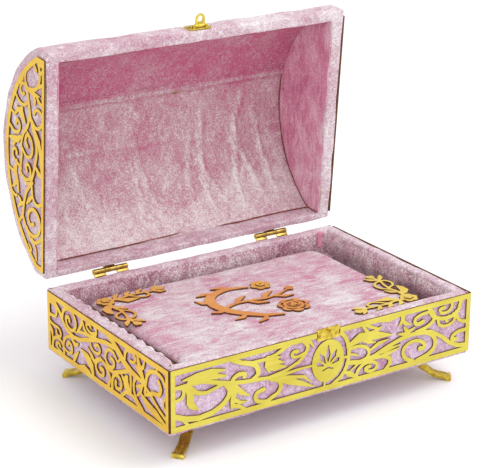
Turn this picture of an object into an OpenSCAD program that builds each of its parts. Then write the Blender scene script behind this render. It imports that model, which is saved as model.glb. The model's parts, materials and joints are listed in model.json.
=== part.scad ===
// Dome-lidded jewelry box: velvet-covered boards, cut gilt scrollwork panels, cast feet and
// a padded lift-out insert. Shown open, with the lid leaning on its hinge stops.
// Millimetres, +Z up. The origin is the centre of the open box's outline, at floor level.

/* [Base] */
// Outside width of the velvet-covered box, left to right
box_w = 290; // [240:1:360]
// Outside depth of the velvet-covered box, front to back
box_d = 196; // [160:1:240]
// Height of the base from its underside to its rim
base_h = 54; // [44:1:70]
// Height of the feet, from the floor to the underside
foot_h = 25; // [18:1:34]
// Thickness of the boards in the base walls
board_t = 8; // [6:0.5:10]
// Thickness of the base's floor board
floor_t = 5; // [3:0.5:8]
// Thickness of the velvet covering and lining
velvet_t = 1; // [0.6:0.1:1.5]

/* [Lid] */
// Height of the lid's crown above its rim
lid_h = 77; // [66:1:96]
// Height of the lid's straight front and back walls
lid_wall_h = 17; // [12:1:22]
// Thickness of the lid's end boards
lid_end_t = 10; // [7:0.5:12]
// Thickness of the lid's front wall board
lid_front_t = 7.5; // [5:0.5:9]
// Thickness of the lid's back wall board
lid_back_t = 4; // [3:0.5:6]
// Thickness of the bent board that makes the lid's vault
shell_t = 3; // [2:0.5:4]
// Angle that the lid stands open at, from closed
open_angle = 85.5; // [75:0.5:95]

/* [Scrollwork] */
// Thickness of the cut panels
fret_t = 1.4; // [1:0.1:3]
// Width of a panel's plain border
border_w = 4.5; // [3:0.5:6]
// Half width of the medallion in the front panel
medal_rx = 15.5; // [12:0.5:17]
// Half height of the medallion in the front panel
medal_ry = 18; // [14:0.5:19]

/* [Insert] */
// Gap between the insert and each side wall
insert_gap_x = 15; // [4:0.5:30]
// Gap between the insert and the front and back walls
insert_gap_y = 4; // [2:0.5:14]
// Thickness of the insert's board
insert_board_t = 3; // [2:0.5:4]
// Thickness of the insert's padding
insert_pad_t = 8; // [5:0.5:10]
// Depth of the insert's top below the rim
insert_drop = 10; // [6:0.5:14]
// Thickness of the cut ornaments on the insert
ornament_t = 1.6; // [1:0.1:2.5]

/* [Hardware] */
// Width of each hinge
hinge_w = 32.5; // [24:0.5:40]
// Distance from the middle of the box to the middle of each hinge
hinge_x = 82; // [60:1:100]
// Radius of the hinge barrel
knuckle_r = 2.3; // [2:0.1:2.5]
// Width of the latch plates
latch_w = 22; // [18:0.5:24]

/* [Hidden] */
$fn = 64;

// Colours
GOLD = "#d9b23c";
PALE_GOLD = "#d8c648";
BRASS = "#c9a64a";
COPPER = "#c77a35";
VELVET = "#d9b7cb";
ROSE = "#bf7f9c";
FELT = "#c9a9b8";
BOARD = "#b08d63";

// Heights and places that several parts share
rim_z = foot_h + base_h;
wall_t = board_t + 2*velvet_t;
insert_w = box_w - 2*wall_t - 2*insert_gap_x;
insert_d = box_d - 2*wall_t - 2*insert_gap_y;
felt_t = velvet_t;
floor_z = foot_h + felt_t;
tray_z = floor_z + floor_t;
corner_r = 2;
lid_gap = 0.6;
running_gap = 0.3;

// The hinge pin's place behind the back face and above the base rim
pin_back = knuckle_r + 1.3;
pin_up = 2.6;
pin_r = 0.9;
pin_play = 0.05;

// The lid's outline in its own frame: u runs forward from the back face, v up from its rim
half_d = box_d/2;
crown = lid_h - lid_wall_h;
arc_r = (half_d*half_d + crown*crown)/(2*crown);
arc_v = lid_h - arc_r;
lid_wall_front = lid_front_t + 2*velvet_t;
lid_wall_back = lid_back_t + 2*velvet_t;
lid_end_wall = lid_end_t + 2*velvet_t;
vault_t = shell_t + 2*velvet_t;

// The latch's sizes
latch_t = 1.5;
knob_r = 1.6;
knob_out = 4.2;
knob_head = 2.6;
catch_low = 8;
catch_rise = 2.4;
catch_clear = 0.4;
hasp_r = 1.2;
hasp_pin_r = 0.5;
hasp_pin_v = 5;
hasp_pin_out = latch_t + hasp_r + running_gap;
hasp_t = 1.1;
hasp_w = 9;

// The hasp's slot is centred on the knob and leaves room to swing over its head
hasp_reach = 6;
slot_x = knob_r + 0.6;
slot_y = knob_r + 1;
hasp_len = hasp_reach + slot_y + 1.8;

// The origin is the middle of the open box's outline from front to back
pin_y = half_d + pin_back;
front_y = -half_d - latch_t - knob_out;
back_y = pin_y - (half_d + pin_back)*cos(open_angle) + (arc_v - pin_up + lid_gap)*sin(open_angle)
  + arc_r;
shift_y = -(front_y + back_y)/2;

module base_place() {
  translate([0, shift_y, 0]) children();
}

// A child drawn closed, in box coordinates, swung open about the hinge pin
module lid_place() {
  translate([0, shift_y + pin_y, rim_z + pin_up]) rotate([-open_angle, 0, 0])
    translate([0, -pin_y, -rim_z - pin_up]) children();
}

// ---- Plain shapes ----

module block(x, y, z) {
  translate([x[0], y[0], z[0]]) cube([x[1] - x[0], y[1] - y[0], z[1] - z[0]]);
}

module rounded_rect(w, d, r) {
  square([w - 2*r, d], center = true);
  square([w, d - 2*r], center = true);
  for (x = [-1, 1], y = [-1, 1]) translate([x*(w/2 - r), y*(d/2 - r)]) circle(r);
}

module screw(length, shank_r, head_r, head_t) {
  translate([0, 0, -length]) cylinder(h = length, r = shank_r, $fn = 24);
  cylinder(h = head_t, r = head_r, $fn = 32);
}

// ---- Scrollwork: smooth tapered strokes through a few points ----

function bend_at(p, i, t) = let(
    a = p[max(i - 1, 0)], b = p[i], c = p[i + 1], d = p[min(i + 2, len(p) - 1)])
  0.5*(2*b + (c - a)*t + (2*a - 5*b + 4*c - d)*t*t + (3*b - a - 3*c + d)*t*t*t);

function side_of(p, i, t) = let(
    a = p[max(i - 1, 0)], b = p[i], c = p[i + 1], d = p[min(i + 2, len(p) - 1)],
    s = (c - a) + 2*(2*a - 5*b + 4*c - d)*t + 3*(3*b - a - 3*c + d)*t*t)
  [-s.y, s.x]/norm(s);

// Steps that a stretch needs: one for each 20 degrees or so that it turns
function tangent_at(p, i) = p[min(i + 1, len(p) - 1)] - p[max(i - 1, 0)];

function steps_at(p, i) = let(a = tangent_at(p, i), b = tangent_at(p, i + 1),
    turn = abs(atan2(cross(a, b), a*b)))
  min(max(ceil(turn/20), 1), 4);

function width_at(w, t) = w[0]*(1 - t)*(1 - 2*t) + 4*w[1]*t*(1 - t) + w[2]*t*(2*t - 1);

// One stroke: w holds its start, middle and end widths, p its points
module stroke(w, p) {
  last = len(p) - 2;
  for (i = [0 : last]) {
    n = steps_at(p, i);
    edge = [for (k = [0 : n]) let(t = k/n, h = width_at(w, (i + t)/(last + 1))/2)
      [bend_at(p, i, t), side_of(p, i, t)*h]];
    polygon(concat([for (e = edge) e[0] + e[1]],
      [for (k = [n : -1 : 0]) edge[k][0] - edge[k][1]]));
  }
  if (w[0] > 1) translate(p[0]) circle(d = w[0], $fn = 8);
  if (w[2] > 1) translate(p[last + 1]) circle(d = w[2], $fn = 8);
}

// A list of strokes, stretched to fit its panel
module strokes(list, stretch = [1, 1]) {
  for (s = list) stroke(s[0], [for (q = s[1]) [q.x*stretch.x, q.y*stretch.y]]);
}

// Merges the strokes into one sheet, with no gap or neck finer than the cutter leaves
cutter = 0.08;

module cut_sheet(t) {
  linear_extrude(t) offset(delta = cutter) offset(delta = -2*cutter) offset(delta = cutter)
    children();
}

// Strokes are drawn on a grid the size of the standard box and stretched to the real one
front_grid = [290, 54];
side_grid = [196, 54];
lid_grid = [196, 67];

// Left half of the front panel: x from the middle, y from the underside
FRONT_LEFT = [
  [[1.6, 3.6, 3], [[-15, 27], [-30, 27], [-48, 25.5], [-64, 27.5], [-80, 29], [-92, 31],
    [-104, 34.5], [-116, 38.5], [-128, 39], [-142, 38.5]]],
  [[2.5, 3, 4], [[-56, 27], [-40, 29], [-29, 33], [-22, 39], [-20, 45], [-24, 50]]],
  [[3, 2.6, 3.6], [[-22, 39.5], [-28, 38], [-33, 38.5], [-35, 41], [-33, 43], [-30, 42.5]]],
  [[4.5, 3, 3.5], [[-90, 50], [-82, 45.5], [-72, 43], [-60, 43], [-50, 44.5], [-38, 50]]],
  [[4, 4.4, 3], [[-80, 45], [-70, 41.5], [-66.5, 36], [-67, 31.5], [-72, 29]]],
  [[4, 3.6, 4], [[-91, 30], [-89, 34], [-84, 36.5], [-79, 35.5], [-79, 33.5]]],
  [[3, 7, 1], [[-57, 44], [-55.5, 38], [-50, 34], [-40, 32.5]]],
  [[3, 5, 0.8], [[-56, 40], [-50, 38.5], [-42, 36.5]]],
  [[3, 4.4, 0.8], [[-57, 43], [-51, 41.5], [-45, 42]]],
  [[3, 4, 2], [[-58, 44], [-58.5, 37], [-56, 32]]],
  [[1, 6, 1], [[-135, 43.5], [-122, 44], [-109, 44.5], [-96, 43.5]]],
  [[5, 6, 1], [[-128, 41], [-114, 42.5], [-105, 40], [-95, 38]]],
  [[3, 3, 3], [[-142, 38.5], [-135, 37.5], [-133.5, 33], [-136, 29], [-142, 27.5]]],
  [[6, 6.5, 1.5], [[-130, 38], [-127.5, 31], [-128, 24], [-124.5, 19], [-121, 17]]],
  [[5, 3, 3], [[-130, 37], [-122, 30.5], [-113, 28.5], [-104, 30.5], [-97, 32.5]]],
  [[4, 4.6, 4.5], [[-97, 32], [-92.5, 26], [-94, 19.5], [-100, 14], [-108, 10.5],
    [-120, 9], [-131, 11], [-142, 15.5]]],
  [[2.4, 2.2, 2.4], [[-135, 12], [-133, 9], [-130, 6]]],
  [[6, 5, 3.4], [[-92, 30], [-88, 23], [-89.5, 16], [-90, 10.5]]],
  [[5, 4.6, 0.8], [[-88, 27], [-82, 21], [-74, 16]]],
  [[3.4, 3.4, 0.8], [[-89, 17], [-83, 12.5], [-76, 12]]],
  [[3, 3.4, 2], [[-90, 12], [-84, 9.5], [-78, 6]]],
  [[5, 3.6, 4], [[-54, 25.5], [-47, 22.5], [-45, 16.5], [-48, 11.5], [-54, 9], [-60, 6]]],
  [[3.4, 3.4, 3.8], [[-58, 7], [-66, 9], [-69, 13], [-66.5, 17], [-61, 18]]],
  [[4, 5.4, 1], [[-47, 23], [-36, 18.5], [-26, 14.5], [-13, 8.5]]],
  [[2, 3, 1], [[-44, 24.5], [-33, 21.5], [-23, 19.5], [-16, 13]]],
  [[4, 2.6, 1], [[-22, 50], [-17, 47], [-14, 42]]],
  [[2, 2, 2], [[-3, 11], [-3, 8.5], [-3, 6]]]];

// Right half of the front panel, with the band that rings the medallion
FRONT_RIGHT = [
  [[2.2, 2.2, 2.2], [[14, 27], [17, 26.5], [20, 26]]],
  [[3.4, 3.6, 3.4], [[6, 51.5], [14, 47], [19, 38.5], [20.5, 28.5], [18.5, 18.5],
    [13, 10.5], [4, 5]]],
  [[3, 3, 3], [[20, 32.5], [28, 33], [36, 31], [40.5, 26], [38, 20.5], [30, 19]]],
  [[1.6, 2, 0.6], [[21, 28], [26, 26.5], [31, 24.5]]],
  [[4, 3.6, 4.4], [[19, 21], [32, 18.5], [46, 20.5], [58, 25], [72, 29], [86, 30.5],
    [98, 29], [106, 24.5], [109, 18], [107, 12], [100, 8], [90, 5.5]]],
  [[4, 3, 4.2], [[86, 6], [79, 10], [75.5, 15.5], [77, 21], [84, 24], [92, 23], [97.5, 19],
    [96.5, 15.5], [93, 16]]],
  [[3, 3.4, 4], [[88, 31.5], [104, 28.5], [116, 21], [124, 14], [133, 9.5], [142, 8]]],
  [[1.6, 3.6, 0.8], [[40, 26], [50, 30.5], [60, 32]]],
  [[1, 3.6, 0.8], [[44, 21], [57, 22.5], [73, 24.5]]],
  [[1, 3.4, 0.8], [[50, 19], [61, 19.5], [72, 22]]],
  [[3, 8.5, 1], [[19, 35], [31, 40], [46, 38.5], [64, 35]]],
  [[4, 5, 0.8], [[37, 41], [46, 41], [53, 45]]],
  [[4, 4, 0.8], [[34, 38], [40, 34.5], [47, 32]]],
  [[3.6, 2.8, 3], [[34, 50], [36, 46], [40, 41]]],
  [[3, 2.6, 2], [[37, 49.5], [43, 46], [49, 43.5]]],
  [[2, 4.6, 2], [[50, 50], [60, 49], [70, 50]]],
  [[5, 4, 1], [[74, 50], [74, 45], [70, 41]]],
  [[3, 3.6, 0.8], [[74, 45], [77, 41.5], [83, 39.5]]],
  [[4, 4, 1], [[80, 31], [78.5, 35], [75, 39]]],
  [[3, 3.4, 0.8], [[79, 32], [82, 34], [87, 36.5]]],
  [[3, 3, 0.8], [[79, 32], [74, 33], [69, 34]]],
  [[3, 3.6, 4], [[88, 31.5], [98, 33], [105.5, 37], [107, 42], [103.5, 46.5], [101, 50]]],
  [[3, 3, 4], [[104, 46.5], [95, 46], [88, 44], [86.5, 40.5], [90, 38], [95, 39]]],
  [[4, 3.4, 4], [[101, 50], [103.5, 44], [109, 39.5], [117, 37], [126, 37.5], [132.5, 41.5],
    [135, 50]]],
  [[3, 2.6, 3.2], [[125, 50], [125, 45.5], [120.5, 42], [114.5, 42.5], [112.5, 46],
    [117, 46.5]]],
  [[3, 2.6, 3], [[111, 38], [112, 33], [118, 30], [125.5, 31], [129, 35], [127, 39]]],
  [[2.4, 2.4, 2.6], [[122, 38], [119, 35.5], [121, 33.5]]],
  [[4, 3, 3.4], [[130, 40], [131.5, 35], [135, 31], [142, 29]]],
  [[3.4, 3.4, 4.2], [[142, 22], [134, 22], [128, 19.5], [127, 16], [131, 15.5]]],
  [[1, 3.4, 3.4], [[20, 12], [30, 17.5], [42, 19], [54, 18.5], [61.5, 15], [62, 10], [58, 6]]],
  [[3.4, 2.8, 3.4], [[28, 6], [30, 12], [36, 16], [44, 16], [49, 12.5], [46.5, 8.5],
    [40.5, 8.5], [37.5, 11.5], [41.5, 12.5]]],
  [[1, 5, 2], [[15, 15], [21, 11], [30, 6]]]];

// Side panel of the base: x from the middle, back to front, y from the underside
SIDE = [
  [[4, 3.6, 4], [[-92, 50], [-80, 47.5], [-72, 41.5], [-66, 34.5], [-58, 29.5], [-48, 28],
    [-38, 29.5], [-26, 34], [-12, 39], [4, 42.5], [18, 43]]],
  [[3.6, 3, 3.6], [[-68, 38], [-66, 45], [-59, 49.5], [-50, 48.5], [-45, 42.5], [-46.5, 36],
    [-53, 32.5], [-60, 35], [-61.5, 40.5], [-57, 42.5], [-55.5, 39.5]]],
  [[3, 3, 3], [[-92, 46], [-82, 45.5], [-77.5, 40.5], [-81, 35], [-92, 34]]],
  [[3, 3, 3], [[-42, 35], [-36.5, 42], [-33, 51]]],
  [[3, 3, 3], [[-34, 48], [-30, 41], [-22, 38.5], [-14, 41], [-11, 46.5], [-14, 52]]],
  [[2.6, 2.6, 3], [[-13, 44], [-19, 42], [-25.5, 43.5], [-27, 47], [-22.5, 48.5],
    [-20, 46.5]]],
  [[1, 3, 2], [[-47, 33], [-36, 37], [-24, 38.5], [-10, 40.5]]],
  [[2.6, 2.6, 3.2], [[-22, 36], [-20, 30.5], [-15, 27.5], [-8, 28.5], [-5.5, 32.5],
    [-9, 35.5], [-13, 33.5]]],
  [[2.4, 3, 3.6], [[26, 36], [22, 33], [17, 38], [9, 38.5], [4, 34], [3.5, 28], [9, 24],
    [15, 25.5], [16.5, 30.5], [12, 32]]],
  [[2.6, 3.2, 3.4], [[-14, 20], [-5, 25.5], [6, 22], [16, 21.5], [27, 26], [40, 32]]],
  [[3, 6.5, 3], [[0, 52], [14, 48], [24, 42], [33, 36], [44, 32.5], [62, 30]]],
  [[3, 3, 3], [[33, 36], [34, 44], [38, 51]]],
  [[2.6, 2.6, 3], [[37, 48], [45, 49.5], [50, 46], [47, 41.5], [42, 41]]],
  [[3, 7, 1], [[64, 30], [58, 37], [55, 43], [52, 52]]],
  [[3, 3.6, 1], [[57, 40], [61.5, 43], [64, 49]]],
  [[3, 3.4, 1], [[60, 34], [54, 37], [50, 42]]],
  [[3, 3.6, 3], [[64, 21], [64.5, 29], [67, 38], [73, 44], [82, 46], [90, 44], [97, 37]]],
  [[3.4, 4, 3], [[84, 40], [87.5, 35], [84, 28.5], [76, 27], [66, 22]]],
  [[3, 3.2, 3], [[62, 29], [72, 24], [84, 16.5], [97, 11]]],
  [[2, 7.5, 1.4], [[57, 20], [68, 14], [80, 11], [95, 7]]],
  [[2.6, 2.6, 2.6], [[97, 31], [91.5, 27], [91.5, 21], [97, 18]]],
  [[3, 2, 2], [[80, 46], [82, 49], [82, 52]]],
  [[3, 3, 2], [[60, 28], [57, 20], [52, 16]]],
  [[3.4, 3, 3], [[-86, 6], [-85, 12.5], [-79, 17], [-71, 16.5], [-66.5, 12], [-67, 6]]],
  [[3, 2.6, 3.2], [[-70, 6], [-76, 7.5], [-79, 11], [-75, 13.5], [-73, 11]]],
  [[3.4, 3, 2], [[-66, 8], [-67, 16], [-63, 22.5], [-56, 26], [-48, 27]]],
  [[2.6, 3, 3.4], [[-65, 12], [-59, 10.5], [-53, 13], [-52.5, 18], [-57, 20.5], [-60, 17]]],
  [[3, 2.6, 3], [[-92, 28], [-83, 26.5], [-76, 27], [-71, 23.5], [-73, 19.5], [-78, 20],
    [-79, 23]]],
  [[3, 4.4, 1], [[-92, 24], [-86.5, 20], [-85, 12]]],
  [[2.4, 4.4, 1], [[-52, 25], [-46, 22], [-41, 25]]],
  [[3, 5, 1], [[-50, 6], [-47, 12], [-41, 18]]],
  [[1, 8, 3], [[-38, 22], [-28, 19], [-20, 13], [-17, 6]]],
  [[1, 4.6, 2], [[-26, 28], [-19, 22], [-13, 17]]],
  [[4, 4, 1], [[-24, 6], [-32, 8], [-41, 6]]],
  [[3.4, 3, 4], [[-5, 25], [-11.5, 20.5], [-12.5, 14.5], [-7, 11], [-1, 12.5], [-1, 17],
    [-5, 17]]],
  [[3, 3.4, 4], [[2, 23], [8, 18], [9.5, 12], [6, 5]]],
  [[4, 3, 3.6], [[13, 5], [13.5, 14], [17.5, 20], [24.5, 20.5], [28, 15.5], [25, 10.5],
    [19, 10.5], [19, 15]]],
  [[4, 9, 1], [[40, 13], [36.5, 17], [35, 22], [38, 27]]],
  [[4, 4.4, 1], [[36, 22], [31, 22], [27, 25]]],
  [[3.4, 3, 3.4], [[26, 5], [35, 12], [46, 12.5], [57, 5]]],
  [[3.4, 3.2, 4], [[52, 32], [47.5, 26], [47, 19], [51, 12], [60, 6]]],
  [[3, 3, 2.6], [[42, 32], [42.5, 24], [42, 13]]],
  [[1, 4, 1], [[50, 23], [56, 25], [62, 28]]]];

// End panel of the lid: x forward from the back face, y up from the rim
LID_END = [
  [[3, 3.4, 3.6], [[36, 45], [45, 37], [57, 35], [68, 31], [77, 24], [90, 18], [104, 13.5],
    [116, 13], [126, 19], [136, 24], [150, 27.5], [162, 31]]],
  [[3.4, 3.2, 3.6], [[46, 38], [36, 31], [33, 20], [37, 10.5], [46, 6.5], [54, 10], [57, 18],
    [53, 25.5], [46, 27.5], [41.5, 23], [44, 18]]],
  [[3, 3, 3], [[37, 30], [29, 23], [29, 13], [36, 3]]],
  [[3, 3.4, 1], [[14, 26], [20, 22], [24, 27]]],
  [[3, 3, 3], [[14, 13], [23, 14], [30, 20]]],
  [[3.6, 3, 3.4], [[78, 22], [68, 20], [63, 14], [64.5, 7], [69, 2]]],
  [[3, 5, 3], [[96, 15], [92, 10], [90, 2]]],
  [[5, 6, 3], [[92, 3], [107, 5], [119, 10], [131, 21]]],
  [[3.4, 3, 3.6], [[88, 41], [98, 39], [108, 40], [118, 36], [126, 29], [136, 25]]],
  [[3.2, 3, 3.6], [[104, 38], [99.5, 31], [102, 23], [110, 20], [117.5, 23.5], [118.5, 29.5],
    [113, 32.5], [108.5, 29]]],
  [[2.6, 3, 1], [[116, 25], [120, 27], [122, 31]]],
  [[3, 2.8, 3.4], [[81, 41], [79, 32], [82, 25], [89, 23.5], [93.5, 27.5], [91, 31.5],
    [87, 30]]],
  [[3, 2.6, 3], [[80, 20], [76, 30], [81, 39], [88, 45]]],
  [[2, 6.5, 2], [[107, 61], [107.5, 53], [109.5, 46], [114, 40]]],
  [[3, 3, 1], [[108, 50], [103, 53], [101, 58]]],
  [[3.4, 3, 3.8], [[118, 61], [114.5, 53], [116.5, 45], [122.5, 42], [126.5, 46.5],
    [122.5, 49.5]]],
  [[3, 2.8, 3.6], [[86, 40], [88.5, 48], [92, 54.5], [98, 54.5], [99.5, 49.5], [96, 48]]],
  [[1, 7, 3], [[62, 44], [72, 47.5], [80, 51], [90, 48]]],
  [[3, 4, 1], [[72, 49], [67, 52], [64, 56]]],
  [[3, 3, 3], [[80, 51], [79, 56], [80, 62]]],
  [[3, 3, 1], [[60, 57], [58, 51], [60, 47]]],
  [[3, 4, 1], [[57, 35], [54, 41], [49, 46]]],
  [[2.6, 3.4, 1], [[54, 40], [58, 42], [60, 46]]],
  [[1, 4.6, 2], [[57, 31], [63, 26], [68, 20]]],
  [[3, 3, 3], [[132, 58], [130, 51], [136, 45], [139, 38]]],
  [[2, 8, 2], [[128, 33], [134, 39], [137, 48]]],
  [[3.4, 3, 3], [[148, 27], [142.5, 35], [143.5, 44], [149, 52]]],
  [[3, 2.8, 3.4], [[161, 31], [160.5, 38], [155.5, 41.5], [151, 38.5], [152.5, 35]]],
  [[3.6, 3.4, 4], [[158, 32], [160, 20], [165, 11.5], [174, 8], [184, 10], [192, 13]]],
  [[3, 3, 3.8], [[159, 30], [166, 33.5], [174, 31], [180, 25], [182, 18.5], [178, 14.5]]],
  [[3, 3, 3], [[166, 33], [171, 36], [176, 34]]],
  [[3.2, 3, 3.4], [[134, 22], [129.5, 15], [131.5, 8], [138, 2]]],
  [[2.8, 3, 3.4], [[140, 2], [145, 7], [145, 14], [140.5, 18]]],
  [[3, 4.6, 1], [[158, 28], [157, 18], [158, 8]]],
  [[3, 4, 1], [[157, 20], [152, 16], [148, 17]]],
  [[3, 4, 2], [[157, 14], [152, 8], [152, 2]]],
  [[2.6, 3, 2.6], [[164, 13], [167, 7], [170, 2]]],
  [[2.6, 3, 2.6], [[176, 8], [179, 5], [181, 2]]],
  [[2.6, 3, 2.6], [[187, 11], [184, 6], [186, 2]]],
  [[3, 3, 3], [[148, 51], [158, 45], [165, 37]]]];

// ---- Base ----

module base_floor() {
  color(BOARD) base_place() difference() {
    block([velvet_t - box_w/2, box_w/2 - velvet_t], [velvet_t - half_d, half_d - velvet_t],
      [floor_z, tray_z]);
    foot_screw_holes();
  }
}

// Front or back wall board, running the full width between the velvet's two faces
module long_wall(side) {
  inner = half_d - velvet_t - board_t;
  outer = half_d - velvet_t;
  block([velvet_t - box_w/2, box_w/2 - velvet_t], side < 0 ? [-outer, -inner] : [inner, outer],
    [tray_z, rim_z - velvet_t]);
}

module base_front_wall() {
  color(BOARD) base_place() difference() {
    long_wall(-1);
    catch_screw_holes();
  }
}

module base_back_wall() {
  color(BOARD) base_place() difference() {
    long_wall(1);
    for (side = [-1, 1]) leaf_screw_holes(side, -1);
  }
}

module end_wall(side) {
  inner = box_w/2 - velvet_t - board_t;
  outer = box_w/2 - velvet_t;
  run = half_d - velvet_t - board_t;
  block(side < 0 ? [-outer, -inner] : [inner, outer], [-run, run], [tray_z, rim_z - velvet_t]);
}

module base_left_wall() {
  color(BOARD) base_place() end_wall(-1);
}

module base_right_wall() {
  color(BOARD) base_place() end_wall(1);
}

// Velvet wrapped round the walls and over the rim
module base_outer_velvet() {
  color(VELVET) base_place() difference() {
    translate([0, 0, foot_h]) linear_extrude(base_h) rounded_rect(box_w, box_d, corner_r);
    block([velvet_t - box_w/2, box_w/2 - velvet_t], [velvet_t - half_d, half_d - velvet_t],
      [foot_h - 1, rim_z - velvet_t]);
    block([wall_t - box_w/2, box_w/2 - wall_t], [wall_t - half_d, half_d - wall_t],
      [rim_z - 2*velvet_t, rim_z + 1]);
    catch_screw_holes();
    for (side = [-1, 1]) leaf_screw_holes(side, -1);
  }
}

// Velvet lining of the tray's floor and walls
module base_lining() {
  outer = wall_t - velvet_t;
  color(ROSE) base_place() difference() {
    block([outer - box_w/2, box_w/2 - outer], [outer - half_d, half_d - outer],
      [tray_z, rim_z - velvet_t]);
    block([wall_t - box_w/2, box_w/2 - wall_t], [wall_t - half_d, half_d - wall_t],
      [tray_z + velvet_t, rim_z]);
  }
}

module base_underside_felt() {
  color(FELT) base_place() difference() {
    block([velvet_t - box_w/2, box_w/2 - velvet_t], [velvet_t - half_d, half_d - velvet_t],
      [foot_h, floor_z]);
    foot_screw_holes();
  }
}

// Rails along the front and back walls that the insert rests on
insert_z = rim_z - insert_drop - insert_pad_t - insert_board_t;
ledge_h = 8;
ledge_bearing = 8;
ledge_w = insert_gap_y + ledge_bearing;

module ledge(side) {
  outer = half_d - wall_t;
  run = box_w/2 - wall_t - 1;
  block([-run, run], side < 0 ? [-outer, ledge_w - outer] : [outer - ledge_w, outer],
    [insert_z - running_gap - ledge_h, insert_z - running_gap]);
}

module ledge_front() {
  color(VELVET) base_place() ledge(-1);
}

module ledge_back() {
  color(VELVET) base_place() ledge(1);
}

// ---- Feet: cast, fluted, splayed to the corners ----

foot_in_x = 38;
foot_in_y = 30;
toe_in_x = 12;
toe_in_y = 8;
foot_run = norm([foot_in_x - toe_in_x, foot_in_y - toe_in_y]);
foot_turn = atan2(foot_in_y - toe_in_y, foot_in_x - toe_in_x);
foot_w = 8.5;
toe_r = 2.3;
toe_flat = 0.3;
pad_t = 1.6;
pad_run = 24;
pad_end = 5;
foot_screw_in = 12;
foot_screw_gap = 8;
foot_screw_r = 1.2;

// A child drawn at the foot's root, with +X towards its corner, at the corner (sx, sy)
module foot_place(sx, sy) {
  translate([sx*(box_w/2 - foot_in_x), sy*(half_d - foot_in_y), 0])
    rotate([0, 0, atan2(sy*(foot_in_y - toe_in_y), sx*(foot_in_x - toe_in_x))]) children();
}

module foot_screw_spots() {
  for (x = [-foot_screw_gap/2, foot_screw_gap/2]) translate([x - foot_screw_in, 0, 0]) children();
}

module foot_screw_holes() {
  for (sx = [-1, 1], sy = [-1, 1]) foot_place(sx, sy) foot_screw_spots()
    translate([0, 0, foot_h - 0.5]) cylinder(h = 4.8, r = foot_screw_r + 0.05, $fn = 24);
}

// Side outline of the leg, from the pad down and out to the toe
function leg_line() = [[1, foot_h - pad_t/2], [4, foot_h*0.72], [foot_run*0.34, foot_h*0.46],
  [foot_run*0.62, foot_h*0.2], [foot_run - 2, toe_r + 0.6]];

module leg(width, w) {
  rotate([90, 0, 0]) translate([0, 0, -width/2]) linear_extrude(width)
    offset(r = 0) intersection() {
      stroke(w, leg_line());
      translate([-5, 0]) square([foot_run + 5, foot_h - pad_t/2]);
    }
}

module foot(sx, sy) {
  color(GOLD) base_place() foot_place(sx, sy) difference() {
    union() {
      leg(foot_w, [5.6, 3.2, 2.8]);
      for (y = [-1, 0, 1]) translate([0, y*foot_w/3, 0]) leg(foot_w/6, [7.2, 4.6, 3.6]);
      translate([foot_run, foot_w/2 + 0.6, toe_r - toe_flat]) rotate([90, 0, 0])
        cylinder(h = foot_w + 1.2, r = toe_r);
      translate([pad_end - pad_run/2, 0, foot_h - pad_t]) linear_extrude(pad_t)
        rounded_rect(pad_run, foot_w + 1.5, 2);
    }
    block([-foot_run, 2*foot_run], [-foot_w, foot_w], [-2*toe_r, 0]);
    foot_screw_spots() translate([0, 0, foot_h - pad_t - 1])
      cylinder(h = pad_t + 2, r = foot_screw_r + 0.05, $fn = 24);
    foot_screw_spots() translate([0, 0, foot_h - pad_t - 12])
      cylinder(h = 12, r = 2.1, $fn = 32);
  }
}

module foot_screws(sx, sy) {
  color(BRASS) base_place() foot_place(sx, sy) foot_screw_spots()
    translate([0, 0, foot_h - pad_t]) rotate([180, 0, 0]) screw(5.8, foot_screw_r, 2, 0.9);
}

// ---- Scrollwork panels ----

fret_low = foot_h + 2;
fret_high = rim_z - 0.5;
notch_w = latch_w + 0.4;
notch_h = catch_low + 0.2;

// A panel's border: its outline less the same outline drawn in by the border's width
module border(x, y) {
  difference() {
    translate([x[0], y[0]]) square([x[1] - x[0], y[1] - y[0]]);
    translate([x[0] + border_w*0.9, y[0] + border_w])
      square([x[1] - x[0] - 1.8*border_w, y[1] - y[0] - 2*border_w]);
  }
}

// The medallion's leaf spray, cut through: five slots that fan out from its foot
module leaf_spray(h) {
  for (a = [-64, -32, 0, 32, 64]) rotate(-a) stroke([0.5, 0.24*h*cos(a/2), 0.5],
    [[0, 0.22*h], [0, 0.56*h], [0, h*(1 - abs(a)/190)]]);
  stroke([0.9, 1.3, 0.9], [[-0.28*h, -0.12*h], [0, -0.02*h], [0.28*h, -0.12*h]]);
}

module front_sheet() {
  stretch = [box_w/front_grid.x, base_h/front_grid.y];
  x = [-box_w/2, box_w/2];
  y = [fret_low - foot_h, fret_high - foot_h];
  difference() {
    union() {
      border(x, y);
      intersection() {
        translate([x[0] + 1, y[0] + 1]) square([x[1] - x[0] - 2, y[1] - y[0] - 2]);
        difference() {
          strokes(concat(FRONT_LEFT, FRONT_RIGHT), stretch);
          translate([0, 27.5*stretch.y]) scale([medal_rx + 0.5, medal_ry + 1]) circle(1);
        }
      }
      translate([0, 27.5*stretch.y]) scale([medal_rx, medal_ry]) circle(1);
      for (x = [[-17, -12], [12, 18]]) translate([x[0], 25.8*stretch.y]) square([x[1] - x[0], 2]);
      translate([-4, 5]) square([2, 7*stretch.y]);
    }
    translate([0, 22*stretch.y]) leaf_spray(medal_ry*1.05);
    translate([-notch_w/2, base_h - notch_h]) square([notch_w, notch_h + 1]);
  }
}

module fret_front() {
  color(PALE_GOLD) base_place() translate([0, -half_d, foot_h]) rotate([90, 0, 0])
    cut_sheet(fret_t) front_sheet();
}

module side_sheet() {
  stretch = [box_d/side_grid.x, base_h/side_grid.y];
  x = [4.5 - half_d, half_d];
  y = [fret_low - foot_h, fret_high - foot_h];
  border(x, y);
  intersection() {
    translate([x[0] + 1, y[0] + 1]) square([x[1] - x[0] - 2, y[1] - y[0] - 2]);
    strokes(SIDE, stretch);
  }
}

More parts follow.
